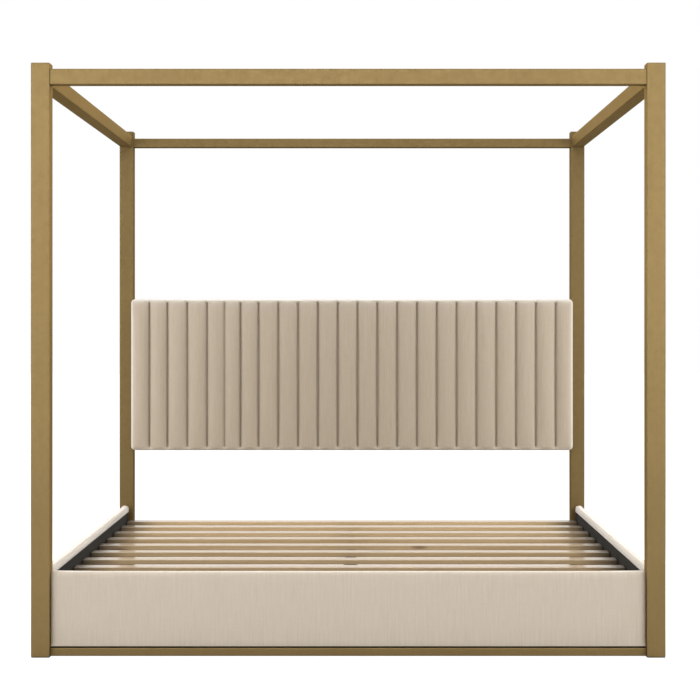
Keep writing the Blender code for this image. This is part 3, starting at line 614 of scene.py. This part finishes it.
# ------------------------------------------------------------------- soft pieces
def lattice_solid(name, lines, filled):
    """Surface of the filled cells of a lattice, as quads that share their corners."""
    grid = [np.asarray(line, float) for line in lines]
    middles = [(line[1:] + line[:-1]) / 2 for line in grid]
    full = np.pad(filled(*np.meshgrid(*middles, indexing="ij")).astype(int), 1)
    counts = [len(line) for line in grid]
    quads = []
    for axis in range(3):
        inside = [slice(1, -1)] * 3
        inside[axis] = slice(None)
        change = np.diff(full, axis=axis)[tuple(inside)]
        second = np.eye(3, dtype=int)[(axis + 1) % 3]
        third = np.eye(3, dtype=int)[(axis + 2) % 3]
        for outward in (1, -1):
            start = np.argwhere(change == -outward)
            ring = [start, start + second, start + second + third, start + third]
            corners = [np.ravel_multi_index(corner.T, counts) for corner in ring[::outward]]
            quads.append(np.stack(corners, axis=1))
    quads = np.concatenate(quads)
    used, index = np.unique(quads, return_inverse=True)
    i, j, k = np.unravel_index(used, counts)
    points = np.stack([grid[0][i], grid[1][j], grid[2][k]], axis=1)
    mesh = bpy.data.meshes.new(name)
    mesh.from_pydata(points.tolist(), [], index.reshape(-1, 4).tolist())
    return mesh


def spaced(low, high, step, low_steps=(), high_steps=()):
    """Lattice lines from low to high: given distances at the ends, even ones between."""
    first = low + (low_steps[-1] if low_steps else 0.0)
    last = high - (high_steps[-1] if high_steps else 0.0)
    even = np.linspace(first, last, max(2, round((last - first) / step) + 1))
    start = [low] + [low + distance for distance in low_steps[:-1]] if low_steps else []
    end = [high - distance for distance in high_steps[-2::-1]] + [high] if high_steps else []
    return np.array(start + list(even) + end)


def unit(vectors):
    length = np.linalg.norm(vectors, axis=1)
    return vectors / np.maximum(length, TINY)[:, None]


def square_to_round(points, centre, radii):
    """Bend the square edges of a box into round ones about the given centres."""
    reach = (points - centre) / radii
    longest = np.abs(reach).max(axis=1)
    length = np.linalg.norm(reach, axis=1)
    share = np.where(length > TINY, longest / np.maximum(length, TINY), 1.0)
    return centre + reach * share[:, None] * radii


CLOTH_FRAMES = 20
CLOTH_QUALITY = 5
CLOTH_PRESSURE = 4.0
CLOTH_MASS = 0.15
CLOTH_STIFFNESS = 15.0
CLOTH_BENDING = 0.5


def inflate(mesh, held, cap):
    """Blow a closed cloth up a little: held is 1 where a point may not move.

    Returns the new points. No point moves further than the cap.
    """
    start = coordinates(mesh)
    scene = bpy.context.scene
    holder = new_object("cloth_work", mesh.copy())
    group = holder.vertex_groups.new(name="held")
    for weight in np.unique(np.round(held, 1)):
        chosen = np.flatnonzero(np.round(held, 1) == weight)
        group.add(chosen.tolist(), float(weight), "REPLACE")
    cloth = holder.modifiers.new("cloth", "CLOTH")
    settings = cloth.settings
    settings.vertex_group_mass = "held"
    settings.quality = CLOTH_QUALITY
    settings.mass = CLOTH_MASS
    settings.tension_stiffness = CLOTH_STIFFNESS
    settings.compression_stiffness = CLOTH_STIFFNESS
    settings.shear_stiffness = CLOTH_STIFFNESS / 2
    settings.bending_stiffness = CLOTH_BENDING
    settings.use_pressure = True
    settings.uniform_pressure_force = CLOTH_PRESSURE
    settings.effector_weights.gravity = 0.0
    cloth.collision_settings.use_collision = False
    cloth.point_cache.frame_start = 1
    cloth.point_cache.frame_end = CLOTH_FRAMES
    for number in range(1, CLOTH_FRAMES + 1):
        scene.frame_set(number)
    depsgraph = bpy.context.evaluated_depsgraph_get()
    blown = coordinates(holder.evaluated_get(depsgraph).data)
    bpy.data.objects.remove(holder, do_unlink=True)
    scene.frame_set(1)
    move = blown - start
    size = np.linalg.norm(move, axis=1)
    limited = cap * np.tanh(size / cap)
    move *= (limited / np.maximum(size, TINY))[:, None]
    return start + move


def finish_soft(piece, node):
    """Join a padded piece to the frame, in the place of a CAD node."""
    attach(piece, FRAME_BODY)
    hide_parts(node)


# ------------------------------------------------------------------- headboard
CHANNELS = 23
CHANNEL_WIDTH = 0.0859
NARROW_CHANNELS = {0: 0.080, 1: 0.078, 4: 0.076, 5: 0.069, 6: 0.078, 22: 0.075}
HALF_CHANNEL = 0.043          # the lattice lines below are for this distance to a middle
CHANNEL_LINES = (0.0, 0.0016, 0.0036, 0.0065, 0.0110, 0.0175, 0.0255, 0.0343)
EDGE_STEPS = (0.002, 0.005, 0.0088, 0.013, 0.018)
DEPTH_STEPS = (0, *EDGE_STEPS, 0.028, 0.038)  # lattice lines behind the front face
BACK_STEPS = (-0.004, -0.0015, 0)             # and in front of the back edge
LATTICE_STEP = 0.0065
POCKET_STEP = 0.008
HEADBOARD_EDGE = 0.018        # radius of the padded edges
HEADBOARD_BACK_EDGE = 0.004
CHANNEL_CROWN = 0.0110        # how far the middle of a channel stands out
SEAM_DEPTH = 0.0095           # extra depth of the sewn groove itself
SEAM_WIDTH = 0.0038
SEAM_HELD = 0.0008            # half the width that the stitches hold
SHALLOW_SEAM = 4              # this seam, counted from 0, is sewn less deep
SHALLOW_SHARE = 0.5
SEAM_LEFT = 0.05              # share of a seam's depth left at the top and bottom edges
SEAM_FADE = 0.016             # stretch at the top and bottom where the seams die out
SEAM_TOP = 0.001              # where that stretch starts, inside the top edge
SEAM_BOTTOM = -0.002          # and at the bottom edge
FRONT_DEPTH = (0.004, 0.030)  # the channels die out over this depth
HELD_DEPTH = 0.012            # behind this depth the cloth is held
HELD_EDGE = (0.004, 0.024)    # it is held less and less, this far from top and bottom
HEADBOARD_PUFF = 0.004        # the most that the cloth may rise
EDGE_HIGHLIGHT_REACH = (0.007, 0.015, 0.006)    # how fast the painted edge highlight fades: side, top, bottom
EDGE_HIGHLIGHT_STRENGTH = (1.0, 1.0, 0.4)


def seam_places(width):
    """X of the seams between the channels, scaled so that all fit the width."""
    widths = [NARROW_CHANNELS.get(index, CHANNEL_WIDTH) for index in range(CHANNELS)]
    scale = width / sum(widths)
    edges = np.cumsum([0.0] + widths) * scale - width / 2
    return edges[1:-1]


def channel_lines(low, high, seams):
    """Lattice lines across the headboard, close together at each seam."""
    lines = set()
    edges = [low] + list(seams) + [high]
    for left, right in zip(edges, edges[1:]):
        middle = (left + right) / 2
        lines.add(round(middle, 5))
        for distance in CHANNEL_LINES:
            lines.add(round(left + distance * (middle - left) / HALF_CHANNEL, 5))
            lines.add(round(right - distance * (right - middle) / HALF_CHANNEL, 5))
    near = [line for line in lines if low + EDGE_STEPS[-1] < line < high - EDGE_STEPS[-1]]
    start = [low] + [low + step for step in EDGE_STEPS]
    end = [high - step for step in EDGE_STEPS[::-1]] + [high]
    return np.array(start + sorted(near) + end)


def build_headboard():
    """Padded front with sewn upright channels, wrapped round the edges of its board."""
    low, high = (np.array(corner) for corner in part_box("headboard_pad"))
    board_low, board_high = (np.array(corner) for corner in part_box("headboard_board"))
    pocket_low = board_low - GAP
    pocket_high = board_high + GAP
    seams = seam_places(high[0] - low[0])

    xs = channel_lines(low[0], high[0], seams)
    zs = spaced(low[2], high[2], LATTICE_STEP, EDGE_STEPS, EDGE_STEPS)
    ys = [low[1] + step for step in DEPTH_STEPS]
    ys += [pocket_low[1], pocket_low[1] + POCKET_STEP]
    ys += [high[1] + step for step in BACK_STEPS]
    snap = {0: (pocket_low[0], pocket_high[0]), 2: (pocket_low[2], pocket_high[2])}
    for axis, lines in ((0, xs), (2, zs)):
        for value in snap[axis]:
            lines[np.abs(lines - value).argmin()] = value

    def filled(x, y, z):
        inside = (x > pocket_low[0]) & (x < pocket_high[0])
        inside &= (z > pocket_low[2]) & (z < pocket_high[2]) & (y > pocket_low[1])
        return ~inside

    mesh = lattice_solid("headboard_channels", (xs, ys, zs), filled)
    square = coordinates(mesh)
    on_pocket = (
        (square[:, 0] >= pocket_low[0] - CLOSE)
        & (square[:, 0] <= pocket_high[0] + CLOSE)
        & (square[:, 2] >= pocket_low[2] - CLOSE)
        & (square[:, 2] <= pocket_high[2] + CLOSE)
        & (square[:, 1] >= pocket_low[1] - CLOSE)
    )
    edge = HEADBOARD_EDGE
    centre = np.clip(square, low + edge, high - edge)
    centre[:, 1] = np.maximum(square[:, 1], low[1] + edge)
    points = square_to_round(square, centre, np.full(3, edge))

    # the back edges are folded over a smaller radius
    middle = points.copy()
    middle[:, 0] = np.clip(points[:, 0], low[0] + edge, high[0] - edge)
    middle[:, 2] = np.clip(points[:, 2], low[2] + edge, high[2] - edge)
    back = np.clip((square[:, 1] - high[1]) / HEADBOARD_BACK_EDGE + 1, 0, 1)
    fold = HEADBOARD_BACK_EDGE * (1 - np.sqrt(1 - back**2))
    points -= unit(points - middle) * fold[:, None]

    # channels: a crown between seams, and a narrow groove along each seam
    inward = centre - square
    inward[:, 1] = np.where(square[:, 1] < low[1] + edge, low[1] + edge - square[:, 1], 0)
    inward = unit(inward)
    x = square[:, 0]
    nearest = np.abs(x[:, None] - seams[None, :]).min(axis=1)
    edges = np.concatenate([[low[0]], seams, [high[0]]])
    slot = np.clip(np.searchsorted(edges, x, side="right") - 1, 0, CHANNELS - 1)
    across = (x - edges[slot]) / (edges[slot + 1] - edges[slot])
    bowl = (2 * across - 1) ** 2
    first = (slot == 0) & (across < 0.5)
    last = (slot == CHANNELS - 1) & (across > 0.5)
    bowl = np.where(first | last, 0.0, bowl)
    groove = np.exp(-((nearest / SEAM_WIDTH) ** 2))
    strength = np.ones(len(seams))
    strength[SHALLOW_SEAM] = SHALLOW_SHARE
    groove *= strength[np.abs(x[:, None] - seams[None, :]).argmin(axis=1)]
    depth = CHANNEL_CROWN * bowl + SEAM_DEPTH * groove
    front = 1 - smoothstep(square[:, 1], *(low[1] + step for step in FRONT_DEPTH))
    to_top = high[2] - square[:, 2]
    to_low = square[:, 2] - low[2]
    fade = smoothstep(to_top, SEAM_TOP, SEAM_FADE) * smoothstep(to_low, SEAM_BOTTOM, SEAM_FADE)
    fade = SEAM_LEFT + (1 - SEAM_LEFT) * fade
    points += inward * (depth * front * fade)[:, None]
    points[on_pocket] = square[on_pocket]
    set_coordinates(mesh, points)
    # the groove mask, which the material darkens as painted shade
    paint(mesh, SEWN, groove * front * fade)
    # painted highlight along the outer edges, fading inward
    away = (np.minimum(x - low[0], high[0] - x), to_top, to_low)
    edge_highlight = [
        strength * np.exp(-distance / reach)
        for distance, reach, strength in zip(away, EDGE_HIGHLIGHT_REACH, EDGE_HIGHLIGHT_STRENGTH)
    ]
    paint(mesh, EDGE_HIGHLIGHT_ATTRIBUTE, np.max(edge_highlight, axis=0))

    held = np.where(square[:, 1] > low[1] + HELD_DEPTH, 1.0, 0.0)
    held = np.maximum(held, np.where(nearest < SEAM_HELD, 1.0, 0.0))
    held = np.maximum(held, 1 - smoothstep(np.minimum(to_top, to_low), *HELD_EDGE))
    set_coordinates(mesh, inflate(mesh, held, cap=HEADBOARD_PUFF))
    mesh.shade_smooth()
    piece = new_object("headboard_channel_pad", mesh, CHANNEL_LINEN)
    finish_soft(piece, "headboard_pad")


# ---------------------------------------------------------- footboard, side rails
COVER_END = 0.018             # stretch at each end where the padding rolls off
COVER_ROLL = 0.007            # how far it rolls off
COVER_CORNER = 0.0012         # radius of the lower front edge
# lattice lines: from the outer face inward, above the bottom, below the top of the
# pocket, about the top of the cover, from its ends, and the even steps between them
COVER_DEPTHS = (0, 0.003, 0.006, 0.0125, 0.0195, 0.023, 0.0297)
COVER_BOTTOM = 0.0015
POCKET_HEAD = 0.003
COVER_TOP = (-0.007, -0.003, 0)
COVER_ENDS = (0.0015, 0.004, 0.0075, 0.012, COVER_END)
COVER_LENGTH_STEP = 0.010
COVER_HEIGHT_STEP = 0.005
ROLL_START = 0.012            # above the bottom edge, where the roll reaches full size
COVER_HELD_BACK = 0.004       # the cloth is held within these distances of its edges
COVER_HELD_LOW = 0.006
COVER_HELD_END = 0.03
COVER_PUFF = 0.003            # the most that the cloth may rise


def build_cover(panel, along, outward):
    """Cover of the footboard or of a side rail: round on top, soft at its ends.

    along is the axis that the panel runs along, and outward is -1 or 1, the
    direction of its outer face on the other axis.
    """
    low, high = (np.array(corner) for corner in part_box(panel + "_pad"))
    board_low, board_high = (np.array(corner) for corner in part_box(panel + "_board"))
    lining_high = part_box(panel + "_lining")[1].z
    across = 1 - along
    thick = high[across] - low[across]

    # own section axes: t from the outer face inward, z up, s along the panel
    def inward(value):
        return value - low[across] if outward < 0 else high[across] - value

    board_t = sorted(inward(board[across]) for board in (board_low, board_high))
    pocket_front = board_t[0] - GAP
    wrap_inner = board_t[1] + GAP
    pocket_top = board_high[2] + GAP
    pocket_low = board_low[2] - GAP
    wrap_low = lining_high + GAP
    radius = thick / 2
    top = high[2]

    t_lines = np.array(sorted([*COVER_DEPTHS, pocket_front, radius, wrap_inner, thick]))
    z_lines = np.concatenate([
        [low[2], low[2] + COVER_BOTTOM, pocket_low],
        spaced(pocket_low, wrap_low, POCKET_STEP)[1:],
        spaced(wrap_low, top - radius, COVER_HEIGHT_STEP)[1:],
        [pocket_top - POCKET_HEAD, pocket_top],
        [top + step for step in COVER_TOP],
    ])
    z_lines = np.unique(np.round(z_lines, 6))
    s_lines = spaced(low[along], high[along], COVER_LENGTH_STEP, COVER_ENDS, COVER_ENDS)

    def filled(s, t, z):
        hollow = (t > pocket_front) & (z > pocket_low) & (z < pocket_top) & (t < wrap_inner)
        hollow |= (t > wrap_inner) & (z < wrap_low)
        return ~hollow

    mesh = lattice_solid(panel + "_cover", (s_lines, t_lines, z_lines), filled)
    square = coordinates(mesh)
    s, t, z = square.T
    on_pocket = (t >= pocket_front - CLOSE) & (t <= wrap_inner + CLOSE)
    on_pocket &= (z >= pocket_low - CLOSE) & (z <= pocket_top + CLOSE)
    on_pocket |= (t > wrap_inner - CLOSE) & (z < pocket_low + CLOSE)

    # the top is a half circle, the lower front edge a small quarter
    section = np.stack([t, z], axis=1)
    centre = np.stack([np.full_like(t, radius), np.minimum(z, top - radius)], axis=1)
    bent = square_to_round(section, centre, np.full(2, radius))
    section = np.where((z > top - radius)[:, None], bent, section)
    corner = COVER_CORNER
    centre = np.stack([np.maximum(t, corner), np.maximum(z, low[2] + corner)], axis=1)
    near = (t < corner) & (z < low[2] + corner)
    bent = square_to_round(section, centre, np.full(2, corner))
    section = np.where(near[:, None], bent, section)

    # the padding rolls off towards both ends
    facing = np.where(z > top - radius, radius - t, 1.0)
    facing = unit(np.stack([facing, np.minimum(top - radius - z, 0)], axis=1))
    end = np.minimum(s - low[along], high[along] - s)
    share = np.clip(1 - end / COVER_END, 0, 1)
    roll = COVER_ROLL * (1 - np.sqrt(1 - share**2))
    outer = 1 - smoothstep(t, radius, thick)
    low_end = smoothstep(z, low[2], low[2] + ROLL_START)
    section += facing * (roll * outer * low_end)[:, None]
    section[on_pocket] = square[on_pocket][:, 1:]

    points = np.empty_like(square)
    points[:, along] = s
    depth = section[:, 0]
    points[:, across] = low[across] + depth if outward < 0 else high[across] - depth
    points[:, 2] = section[:, 1]
    set_coordinates(mesh, points)
    if (along == 0) != (outward < 0):
        mesh.flip_normals()

    held = on_pocket | (t > thick - COVER_HELD_BACK) | (z < low[2] + COVER_HELD_LOW)
    held = np.maximum(np.where(held, 1.0, 0.0), 1 - smoothstep(end, 0.0, COVER_HELD_END))
    set_coordinates(mesh, inflate(mesh, held, cap=COVER_PUFF))
    mesh.shade_smooth()
    piece = new_object(panel + "_cover", mesh, FOOTBOARD_LINEN if along == 0 else SIDE_LINEN)
    finish_soft(piece, panel + "_pad")


# ---------------------------------------------------------------- screws, bolts
ROUND_STEPS = 48
CROSS_REACH = 0.62            # arm of a cross recess, as a share of the head's radius
CROSS_ARM = 0.15              # half the width of the arm
TURN_STEP = 2.4               # each screw stops at another angle


def round_outline(radius):
    return np.full(ROUND_STEPS, radius)


def hexagon_outline(radius):
    """Distance from the centre to a hexagon whose flats are at the given radius."""
    angle = np.arange(ROUND_STEPS) * 2 * math.pi / ROUND_STEPS
    return radius / np.cos((angle + math.pi / 6) % (math.pi / 3) - math.pi / 6)


def cross_outline(radius):
    """Distance from the centre to the outline of a cross recess."""
    angle = np.arange(ROUND_STEPS) * 2 * math.pi / ROUND_STEPS
    off = np.abs((angle + math.pi / 4) % (math.pi / 2) - math.pi / 4)
    reach = CROSS_REACH * radius / np.cos(off)
    return np.minimum(reach, CROSS_ARM * radius / np.maximum(np.sin(off), TINY))


def turned(rings, end_low, end_high):
    """Closed skin over rings of (distances, height), with a point at each end."""
    angle = np.arange(ROUND_STEPS) * 2 * math.pi / ROUND_STEPS
    points = [(0.0, 0.0, end_low)]
    for distances, height in rings:
        ring = np.stack([distances * np.cos(angle), distances * np.sin(angle)], axis=1)
        points += [(x, y, height) for x, y in ring.tolist()]
    points.append((0.0, 0.0, end_high))
    faces = []
    for step in range(ROUND_STEPS):
        after = (step + 1) % ROUND_STEPS
        faces.append((0, 1 + after, 1 + step))
        for level in range(len(rings) - 1):
            low = 1 + level * ROUND_STEPS
            high = low + ROUND_STEPS
            faces.append((low + step, low + after, high + after, high + step))
        last = 1 + (len(rings) - 1) * ROUND_STEPS
        faces.append((last + step, last + after, len(points) - 1))
    return np.array(points), faces


OUTLINES = {"round": round_outline, "hexagon": hexagon_outline, "cross": cross_outline}

# Heads of screws and bolts. Height 0 is the seat, or the face of a countersunk head. Each
# is (height of the neck, rings of (outline, size, height), height of the middle), all in
# radii of the head.
COUNTERSUNK = (
    -0.62,
    (("round", 1, -0.08), ("round", 0.94, 0), ("cross", 1, 0), ("cross", 0.72, -0.42)),
    -0.42,
)
PAN_HEAD = (
    0,
    (
        ("round", 1, 0),
        ("round", 1, 0.22),
        ("round", 0.92, 0.42),
        ("round", 0.74, 0.54),
        ("cross", 1, 0.56),
        ("cross", 0.72, 0.16),
    ),
    0.16,
)
SOCKET_HEAD = (
    0,
    (
        ("round", 1, 0),
        ("round", 1, 0.3),
        ("round", 0.9, 0.55),
        ("round", 0.68, 0.68),
        ("hexagon", 0.42, 0.7),
        ("hexagon", 0.399, 0.12),
    ),
    0.12,
)
HEXAGON_HEAD = (
    0,
    (
        ("round", 1.1, 0),
        ("round", 1.1, 0.12),
        ("hexagon", 0.86, 0.14),
        ("hexagon", 0.86, 0.72),
        ("round", 0.82, 0.8),
        ("round", 0.5, 0.8),
    ),
    0.76,
)


def headed(shape, head, shank, length, pointed=False):
    """Screw or bolt with the given head; head and shank are radii."""
    neck, heights, middle = shape
    rings = [(round_outline(shank), -length), (round_outline(shank), head * neck)]
    for outline, size, height in heights:
        rings.append((OUTLINES[outline](head * size), head * height))
    point = shank if pointed else 0
    return turned(rings, -length - point, head * middle)


def set_screw(radius, depth, length):
    """Headless screw with a hexagon socket, sunk by the given depth."""
    socket = hexagon_outline(radius * 0.55)
    rings = [
        (round_outline(radius * 0.85), -length),
        (round_outline(radius), -length + radius * 0.3),
        (round_outline(radius), -depth - radius * 0.15),
        (round_outline(radius * 0.88), -depth),
        (socket, -depth),
        (socket * 0.95, -depth - radius * 0.9),
    ]
    return turned(rings, -length, -depth - radius * 0.9)


SHARP_ANGLE = 35              # degrees between two faces, from which their edge is sharp


def build_fixings(name, shape, spots, material):
    """One piece with a copy of the shape at each spot of (place, direction)."""
    base, base_faces = shape
    points = []
    faces = []
    for number, (place, direction) in enumerate(spots):
        turn = Vector(direction).to_track_quat("Z", "Y").to_matrix()
        spin = Matrix.Rotation(number * TURN_STEP, 3, "Z")
        rotation = np.array(turn @ spin)
        start = len(points)
        points += (base @ rotation.T + np.array(place)).tolist()
        faces += [tuple(start + corner for corner in face) for face in base_faces]
    mesh = bpy.data.meshes.new(name)
    mesh.from_pydata(points, [], faces)
    mesh.shade_smooth()
    mesh.set_sharp_from_angle(angle=math.radians(SHARP_ANGLE))
    piece = new_object(name, mesh, material)
    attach(piece, FRAME_BODY)


SLAT_SCREW = (0.0042, 0.0020, 0.022)   # radius of the head and of the shank, length
LEDGER_SCREW = (0.0042, 0.0020, 0.008)
SET_SCREW = (0.0031, 0.0008, 0.0060)   # radius, how deep it is sunk, length
LEG_BOLT = (0.0052, 0.0025, 0.011)
HEADBOARD_BOLT = (0.0062, 0.0030, 0.007)

SLATS = 10
SLAT_SCREW_X = 0.9595
SLAT_SCREW_SUNK = 0.0004
LEDGER_FACE = 0.9741          # inner face of a ledger's upright leg
LEDGER_SCREW_DROP = 0.015     # below the top of a ledger
LEDGER_SCREWS = 7
LEDGER_PITCH = 0.330
SET_SCREW_INSET = 0.020
LEG_BOLT_REACH = 0.025
LEG_FLANGE = 0.003            # thickness of a leg's flange
BOLT_LEVELS = (0.60, 1.08)    # of the bolts through the headboard's brackets
BRACKET_BOARD_BOLT = (0.9237, 1.0441)
BRACKET_POST_BOLT = (0.9527, 1.0755)


def build_all_fixings():
    down = (0, 0, -1)
    up = (0, 0, 1)
    spots = []
    for number in range(1, SLATS + 1):
        low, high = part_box("slat_%02d" % number)
        level = high.z - SLAT_SCREW_SUNK
        for side in (-1, 1):
            spots.append(((side * SLAT_SCREW_X, (low.y + high.y) / 2, level), up))
    shape = headed(COUNTERSUNK, *SLAT_SCREW, pointed=True)
    build_fixings("slat_screws", shape, spots, ZINC)

    spots = []
    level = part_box("ledger_left")[1].z - LEDGER_SCREW_DROP
    for step in range(LEDGER_SCREWS):
        y = (step - (LEDGER_SCREWS - 1) / 2) * LEDGER_PITCH
        for side in (-1, 1):
            spots.append(((side * LEDGER_FACE, y, level), (-side, 0, 0)))
    shape = headed(PAN_HEAD, *LEDGER_SCREW, pointed=True)
    build_fixings("ledger_screws", shape, spots, ZINC)

    spots = []
    for rail in ("foot", "head"):
        low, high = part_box("canopy_rail_" + rail)
        for x in (low.x + SET_SCREW_INSET, high.x - SET_SCREW_INSET):
            spots.append(((x, (low.y + high.y) / 2, high.z), up))
    for rail in ("left", "right"):
        low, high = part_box("canopy_rail_" + rail)
        for y in (low.y + SET_SCREW_INSET, high.y - SET_SCREW_INSET):
            spots.append((((low.x + high.x) / 2, y, high.z), up))
    build_fixings("canopy_set_screws", set_screw(*SET_SCREW), spots, GOLD)

    spots = []
    for number in (1, 2, 3):
        low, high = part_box("support_leg_%d" % number)
        level = high.z - LEG_FLANGE
        for shift in (-LEG_BOLT_REACH, LEG_BOLT_REACH):
            spots.append((((low.x + high.x) / 2, (low.y + high.y) / 2 + shift, level), down))
    shape = headed(HEXAGON_HEAD, *LEG_BOLT)
    build_fixings("leg_bolts", shape, spots, ZINC)

    spots = []
    for level in BOLT_LEVELS:
        for side in (-1, 1):
            board_x, board_y = BRACKET_BOARD_BOLT
            spots.append(((side * board_x, board_y, level), (0, 1, 0)))
            post_x, post_y = BRACKET_POST_BOLT
            spots.append(((side * post_x, post_y, level), (-side, 0, 0)))
    shape = headed(SOCKET_HEAD, *HEADBOARD_BOLT)
    build_fixings("headboard_bolts", shape, spots, BLACK_STEEL)


# ------------------------------------------------------------- dark strips under panels, painted shade
GAP_STRIP_INSET = 0.0025           # from the outer face of the panel
GAP_STRIP_WIDTH = 0.021
GAP_STRIP_ROUND_STEPS = 6


def gap_strip_section(width, height):
    """Outline of a soft strip with rounded edges, as (across, up) points."""
    radius = height / 2
    points = []
    for centre, start in ((width - radius, -math.pi / 2), (radius, math.pi / 2)):
        for step in range(GAP_STRIP_ROUND_STEPS + 1):
            angle = start + math.pi * step / GAP_STRIP_ROUND_STEPS
            points.append((centre + radius * math.cos(angle), radius + radius * math.sin(angle)))
    return points


def build_gap_shade_strip(panel, rail, along, outward):
    """Black strip in the gap between a panel and its base rail: painted shade for the shadowed
    gap.
    """
    panel_low, panel_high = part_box(panel + "_pad")
    across = 1 - along
    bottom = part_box(rail)[1].z + GAP
    section = gap_strip_section(GAP_STRIP_WIDTH, panel_low.z - GAP - bottom)
    face = panel_low[across] if outward < 0 else panel_high[across]
    work = bmesh.new()
    rings = []
    for place in (panel_low[along] + GAP_STRIP_INSET, panel_high[along] - GAP_STRIP_INSET):
        ring = []
        for inward, up in section:
            point = [0.0, 0.0, bottom + up]
            point[along] = place
            point[across] = face - outward * (GAP_STRIP_INSET + inward)
            ring.append(work.verts.new(point))
        rings.append(ring)
    for first in range(len(section)):
        after = (first + 1) % len(section)
        work.faces.new((rings[0][first], rings[0][after], rings[1][after], rings[1][first]))
    for ring in rings:
        work.faces.new(ring)
    bmesh.ops.recalc_face_normals(work, faces=work.faces)
    mesh = mesh_of(panel + "_gap_shade_strip", work)
    piece = new_object(panel + "_gap_shade_strip", mesh, LINING)
    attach(piece, FRAME_BODY)


build_studio()
dress_cad_nodes()
build_headboard()
build_cover("footboard", along=0, outward=-1)
build_cover("side_rail_left", along=1, outward=-1)
build_cover("side_rail_right", along=1, outward=1)
build_gap_shade_strip("footboard", "base_rail_foot", along=0, outward=-1)
build_gap_shade_strip("side_rail_left", "base_rail_left", along=1, outward=-1)
build_gap_shade_strip("side_rail_right", "base_rail_right", along=1, outward=1)
build_all_fixings()
